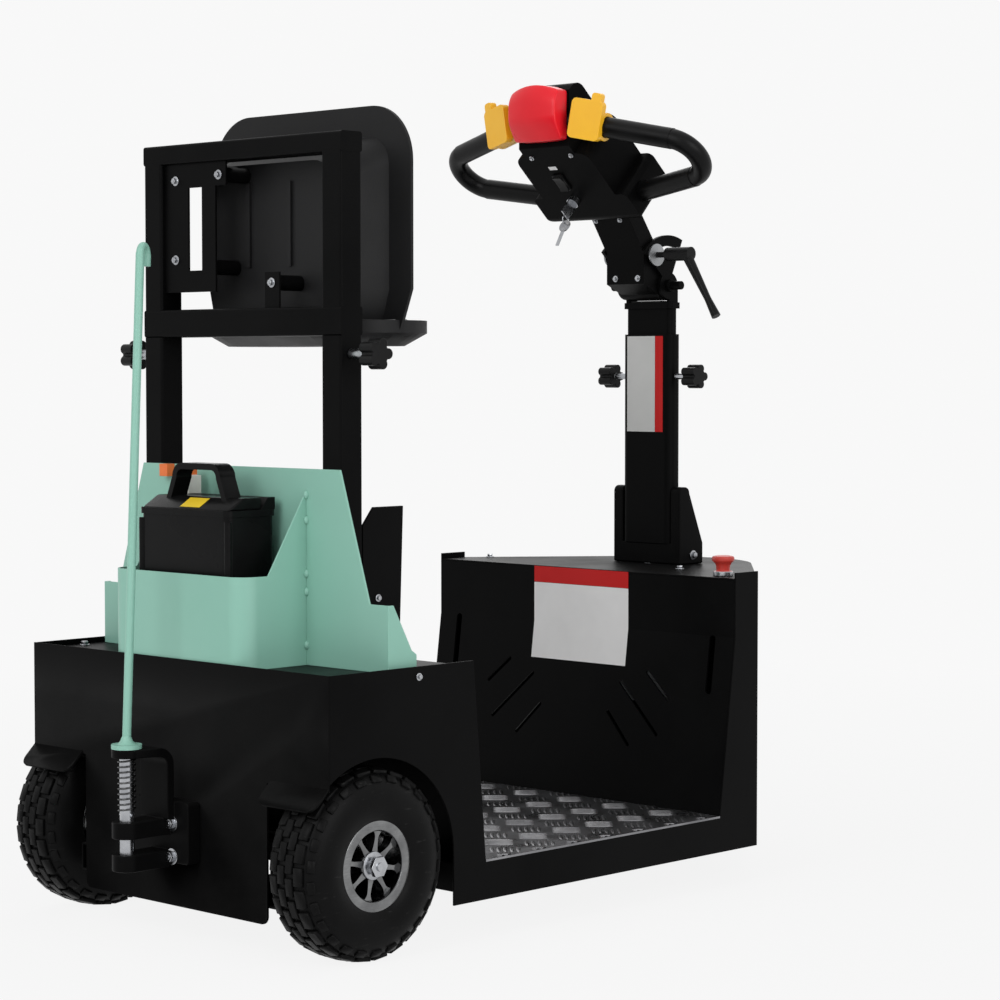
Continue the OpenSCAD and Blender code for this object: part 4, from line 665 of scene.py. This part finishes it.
rimShape = {
    # radius and distance outwards from the wheel's middle (mm)
    "barrel": [(47, -39), (60.5, -40), (62, -39), (62, -36), (51, -33), (51, 33), (62, 36), (62, 39), (60.5, 40),
               (49, 40), (47.6, 38.8), (47, 36)],
    "hub": [(10.3, 32), (17, 32), (19, 30.5), (20.5, 26), (20.5, -30), (10.3, -30)],
    # a spoke flares towards the hub, and from a share of its length on towards the ring
    "spokes": 8, "turn": 11, "spokeFrom": 19, "spokeTo": 48.5, "spokeBack": 16, "spokeFront": 31.5,
    "spokeWide": 5.6, "hubFlare": 4.5, "hubPower": 3, "ringFlare": 13, "ringPower": 2, "ringFrom": 0.6,
    "cuts": 10, "steps": 72,
}


# how much wider a spoke is than its waist, at a share of its length
def spokeFlare(along):
    towardsRing = max(0.0, (along - rimShape["ringFrom"]) / (1 - rimShape["ringFrom"]))
    return (rimShape["hubFlare"] * (1 - along) ** rimShape["hubPower"]
            + rimShape["ringFlare"] * towardsRing ** rimShape["ringPower"])


def makeRim(name, node, body, side):
    bm = bmesh.new()
    for label in ("barrel", "hub"):
        turnedWheel(bm, [(radius, side * out) for radius, out in rimShape[label]], rimShape["steps"])
    first = len(bm.verts)
    start, stop = rimShape["spokeFrom"] / 1000, rimShape["spokeTo"] / 1000
    back, front = rimShape["spokeBack"] / 1000, rimShape["spokeFront"] / 1000
    middle = ((start + stop) / 2, side * (back + front) / 2, 0)
    size = (stop - start, front - back, rimShape["spokeWide"] / 1000, 1)
    made = bmesh.ops.create_cube(bm, size=1, matrix=Matrix.Translation(middle) @ Matrix.Diagonal(size))
    lengthwise = [edge for edge in edgesOf(made["verts"])
                  if abs(edge.verts[0].co.x - edge.verts[1].co.x) > (stop - start) / 2]
    bmesh.ops.subdivide_edges(bm, edges=lengthwise, cuts=rimShape["cuts"], use_grid_fill=True)
    bm.verts.ensure_lookup_table()
    spoke = bm.verts[first:]
    for vert in spoke:
        vert.co.z *= 1 + spokeFlare((vert.co.x - start) / (stop - start)) / rimShape["spokeWide"]
    bmesh.ops.rotate(bm, cent=(0, 0, 0), matrix=Matrix.Rotation(math.radians(rimShape["turn"]), 3, "Y"), verts=spoke)
    repeatRound(bm, geomOf(spoke), rimShape["spokes"])
    fitWheel(bm, side)
    piece = settle(bm, name, "wheelAlloy", body, 40)
    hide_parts(node)


makeRim("rimLeft", "rim_left", "wheel_left", 1)
makeRim("rimRight", "rim_right", "wheel_right", -1)
print("rims set")


# reversing pad

# falls and arches in mm, places as a share of the half height
padShape = {"node": "reverse_pad", "cuts": 11, "sideFall": 6, "footFall": 17, "footFrom": 0.25, "footPower": 1.2,
            "headFall": 9, "headFrom": 0.3, "topArch": 10, "footArch": 2, "levels": 2}


def makePad():
    low, high = (Vector(corner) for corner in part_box(padShape["node"]))
    middle, half = (low + high) / 2, (high - low) / 2
    bm = bmesh.new()
    bmesh.ops.create_cube(bm, size=2)
    bmesh.ops.subdivide_edges(bm, edges=bm.edges[:], cuts=padShape["cuts"], use_grid_fill=True)
    for vert in bm.verts:
        front, aside, up = (1 - vert.co.x) / 2, vert.co.y, vert.co.z
        foot = max(0.0, (-up - padShape["footFrom"]) / (1 - padShape["footFrom"]))
        head = max(0.0, (up - padShape["headFrom"]) / (1 - padShape["headFrom"]))
        fall = (padShape["sideFall"] * aside ** 2 + padShape["footFall"] * foot ** padShape["footPower"]
                + padShape["headFall"] * head ** 2)
        arch = padShape["topArch" if up > 0 else "footArch"] * aside ** 2
        vert.co = (high.x - front * (2 * half.x - fall / 1000), middle.y + aside * half.y,
                   middle.z + up * (half.z - arch / 1000))
    piece = settle(bm, "padShell", "redPlastic", "head", 60)
    rounded = piece.modifiers.new("rounded", "SUBSURF")
    rounded.levels = rounded.render_levels = padShape["levels"]
    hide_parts(padShape["node"])


makePad()
print("reversing pad set")


# blank films and tags

filmSizes = {"thick": 0.0004, "lift": 0.0003}  # metres


# a thin film through a row of (station, up) points, between two sides
def filmStrip(name, finishName, body, points, leftFrom, leftTo, outward):
    bm = bmesh.new()
    out = Vector(outward).normalized() * filmSizes["lift"]
    near = [bm.verts.new(spot(station, leftFrom, up) + out) for station, up in points]
    made = bmesh.ops.extrude_edge_only(bm, edges=[bm.edges.new(pair) for pair in zip(near, near[1:])])
    moved = [item for item in made["geom"] if isinstance(item, bmesh.types.BMVert)]
    bmesh.ops.translate(bm, vec=(0, (leftTo - leftFrom) / 1000, 0), verts=moved)
    bmesh.ops.recalc_face_normals(bm, faces=bm.faces[:])
    if sum(face.normal.dot(out) for face in bm.faces) < 0:
        bmesh.ops.reverse_faces(bm, faces=bm.faces[:])
    bmesh.ops.solidify(bm, geom=bm.faces[:], thickness=-filmSizes["thick"])
    settle(bm, name, finishName, body, 20)


# finish, body, (station, up) points, left from and to (mm), facing
filmRows = {
    "bulkheadFilm": ("labelFilm", "chassis", [(834.5, 324), (842, 383), (842, 446.5)], -102, 102, (-1, 0, 0.1)),
    "bulkheadBand": ("redFilm", "chassis", [(842, 447), (842, 473)], -102, 102, (-1, 0, 0)),
    "columnFilm": ("greyFilm", "steering", [(1000, 691), (1000, 848)], -20, 40, (-1, 0, 0)),
    "columnBand": ("redFilm", "steering", [(1000, 691), (1000, 848)], -37, -20.5, (-1, 0, 0)),
    "lidTag": ("yellowFilm", "chassis", [(27, 602.4), (46, 614.2)], -28, 14, (-0.528, 0, 0.849)),
    "switchFilm": ("labelFilm", "head", [(784.5, 1114.6), (789.5, 1110.0)], 3, 19, (-0.672, 0, -0.741)),
}
for name, row in filmRows.items():
    filmStrip(name, *row)
print("films set")


# seat cushions

# lengths in metres
cushionCloth = {"voxel": 0.006, "shrink": 0.006, "softenRounds": 8, "pressure": 4.0, "quality": 5, "frames": 20,
                "cap": 0.006}


def makeCushion(name, node):
    bm = copyOfNode(node)
    mesh = bpy.data.meshes.new(name + "Form")
    bm.to_mesh(mesh)
    bm.free()
    form = bpy.data.objects.new(name + "Form", mesh)
    scene.collection.objects.link(form)
    remesh = form.modifiers.new("evenSkin", "REMESH")
    remesh.mode = "VOXEL"
    remesh.voxel_size = cushionCloth["voxel"]
    shrink = form.modifiers.new("drawIn", "DISPLACE")
    shrink.strength = -cushionCloth["shrink"]
    shrink.mid_level = 0.0
    relax = form.modifiers.new("soften", "SMOOTH")
    relax.iterations = cushionCloth["softenRounds"]
    skin = bpy.data.meshes.new_from_object(form.evaluated_get(bpy.context.evaluated_depsgraph_get()))
    bpy.data.objects.remove(form)
    skin.name = name
    piece = bpy.data.objects.new(name, skin)
    scene.collection.objects.link(piece)
    start = [v.co.copy() for v in skin.vertices]
    cloth = piece.modifiers.new("filling", "CLOTH")
    cloth.settings.use_pressure = True
    cloth.settings.uniform_pressure_force = cushionCloth["pressure"]
    cloth.settings.effector_weights.gravity = 0.0
    cloth.settings.quality = cushionCloth["quality"]
    cloth.point_cache.frame_start = 1
    cloth.point_cache.frame_end = cushionCloth["frames"]
    for step in range(1, cushionCloth["frames"] + 1):
        scene.frame_set(step)
    swollen = piece.evaluated_get(bpy.context.evaluated_depsgraph_get()).data
    grown = [v.co.copy() for v in swollen.vertices]
    piece.modifiers.remove(cloth)
    scene.frame_set(1)
    for vert, was, now in zip(skin.vertices, start, grown):
        move = now - was
        if move.length > cushionCloth["cap"]:
            move *= cushionCloth["cap"] / move.length
        vert.co = was + move
    skin.materials.clear()
    skin.materials.append(finishes["seatVinyl"])
    for face in skin.polygons:
        face.use_smooth = True
    rounding = piece.modifiers.new("rounding", "SUBSURF")
    rounding.levels = rounding.render_levels = 1
    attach(piece, "seat")
    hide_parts(node)


makeCushion("backCushion", "back_pad")
makeCushion("perchCushion", "perch_pad")
print("cushions filled")


# stage, light and camera

studio = {"backdrop": 0.94, "sky": 0.52, "floorTone": 0.86, "floorRough": 0.9, "floorHalf": 30, "nearGlow": 0.93,
          "nearReach": 0.9, "farReach": 3.2, "lampAim": (0, 0, 0.55)}

floorMesh = bmesh.new()
bmesh.ops.create_grid(floorMesh, x_segments=1, y_segments=1, size=studio["floorHalf"])
floorData = bpy.data.meshes.new("stageFloor")
floorMesh.to_mesh(floorData)
floorMesh.free()
floor = bpy.data.objects.new("stageFloor", floorData)
scene.collection.objects.link(floor)
floorFinish = bpy.data.materials.new("paleFloor")
floorFinish.use_nodes = True
floorTree = floorFinish.node_tree
floorShader = floorTree.nodes["Principled BSDF"]
floorShader.inputs["Base Color"].default_value = (studio["floorTone"],) * 3 + (1,)
floorShader.inputs["Roughness"].default_value = studio["floorRough"]
floorShader.inputs["Specular IOR Level"].default_value = 0.0


# 1 for rays from the camera, from gloss and through glass
def seenDirectly(tree):
    path = addNode(tree, "ShaderNodeLightPath")
    first = addNode(tree, "ShaderNodeMath", operation="MAXIMUM")
    second = addNode(tree, "ShaderNodeMath", operation="MAXIMUM")
    tree.links.new(path.outputs["Is Camera Ray"], first.inputs[0])
    tree.links.new(path.outputs["Is Glossy Ray"], first.inputs[1])
    tree.links.new(first.outputs[0], second.inputs[0])
    tree.links.new(path.outputs["Is Transmission Ray"], second.inputs[1])
    return second.outputs[0]


# shows the glow in place of the lit surface, by a share
def showGlow(tree, share, lit, glow, output):
    mix = addNode(tree, "ShaderNodeMixShader")
    tree.links.new(share, mix.inputs[0])
    tree.links.new(lit.outputs[0], mix.inputs[1])
    tree.links.new(glow.outputs[0], mix.inputs[2])
    tree.links.new(mix.outputs[0], tree.nodes[output].inputs["Surface"])


backdropColour = (studio["backdrop"],) * 3 + (1,)
floorGlow = addNode(floorTree, "ShaderNodeEmission", {"Color": backdropColour, "Strength": 1.0})
floorPlace = addNode(floorTree, "ShaderNodeTexCoord")
floorReach = addNode(floorTree, "ShaderNodeVectorMath", operation="LENGTH")
floorTree.links.new(floorPlace.outputs["Object"], floorReach.inputs[0])
glowShare = ramp(floorTree, floorReach.outputs["Value"], studio["nearReach"], studio["farReach"],
                 studio["nearGlow"], 1.0)
showGlow(floorTree, times(floorTree, seenDirectly(floorTree), glowShare), floorShader, floorGlow, "Material Output")
floorData.materials.append(floorFinish)

world = bpy.data.worlds.new("studioWorld")
scene.world = world
world.use_nodes = True
skyTree = world.node_tree
skyLight = skyTree.nodes["Background"]
skyLight.inputs["Color"].default_value = (1, 1, 1, 1)
skyLight.inputs["Strength"].default_value = studio["sky"]
backdrop = addNode(skyTree, "ShaderNodeBackground", {"Color": backdropColour, "Strength": 1.0})
showGlow(skyTree, seenDirectly(skyTree), skyLight, backdrop, "World Output")

# place, power in watts, size in metres
lampRows = {"keyLamp": ((-3.6, -0.4, 2.4), 56, 2.2), "sideLamp": ((-0.6, -4.2, 2.0), 66, 2.4),
            "topLamp": ((0.3, 0.4, 3.0), 6, 2.0), "backLamp": ((2.4, 1.6, 2.0), 12, 1.5)}
for name, (place, power, size) in lampRows.items():
    lamp = bpy.data.objects.new(name, bpy.data.lights.new(name, "AREA"))
    lamp.data.energy = power
    lamp.data.size = size
    lamp.location = place
    lamp.rotation_euler = (Vector(studio["lampAim"]) - Vector(place)).to_track_quat("-Z", "Y").to_euler()
    scene.collection.objects.link(lamp)

photoView = {"place": (-2.92777, -2.94253, 0.79600), "yaw": 44.0328, "down": 2.782, "lens": 97.93, "sensor": 36,
             "farEnd": 100}
camera = bpy.data.objects.new("photoCamera", bpy.data.cameras.new("photoCamera"))
camera.data.sensor_width = photoView["sensor"]
camera.data.lens = photoView["lens"]
camera.data.clip_end = photoView["farEnd"]
camera.location = photoView["place"]
yaw, down = math.radians(photoView["yaw"]), math.radians(photoView["down"])
camera.rotation_euler = Vector((math.cos(down) * math.cos(yaw), math.cos(down) * math.sin(yaw),
                                -math.sin(down))).to_track_quat("-Z", "Y").to_euler()
scene.collection.objects.link(camera)
scene.camera = camera
scene.view_settings.view_transform = "Standard"
print("stage set")

bpy.context.view_layer.update()
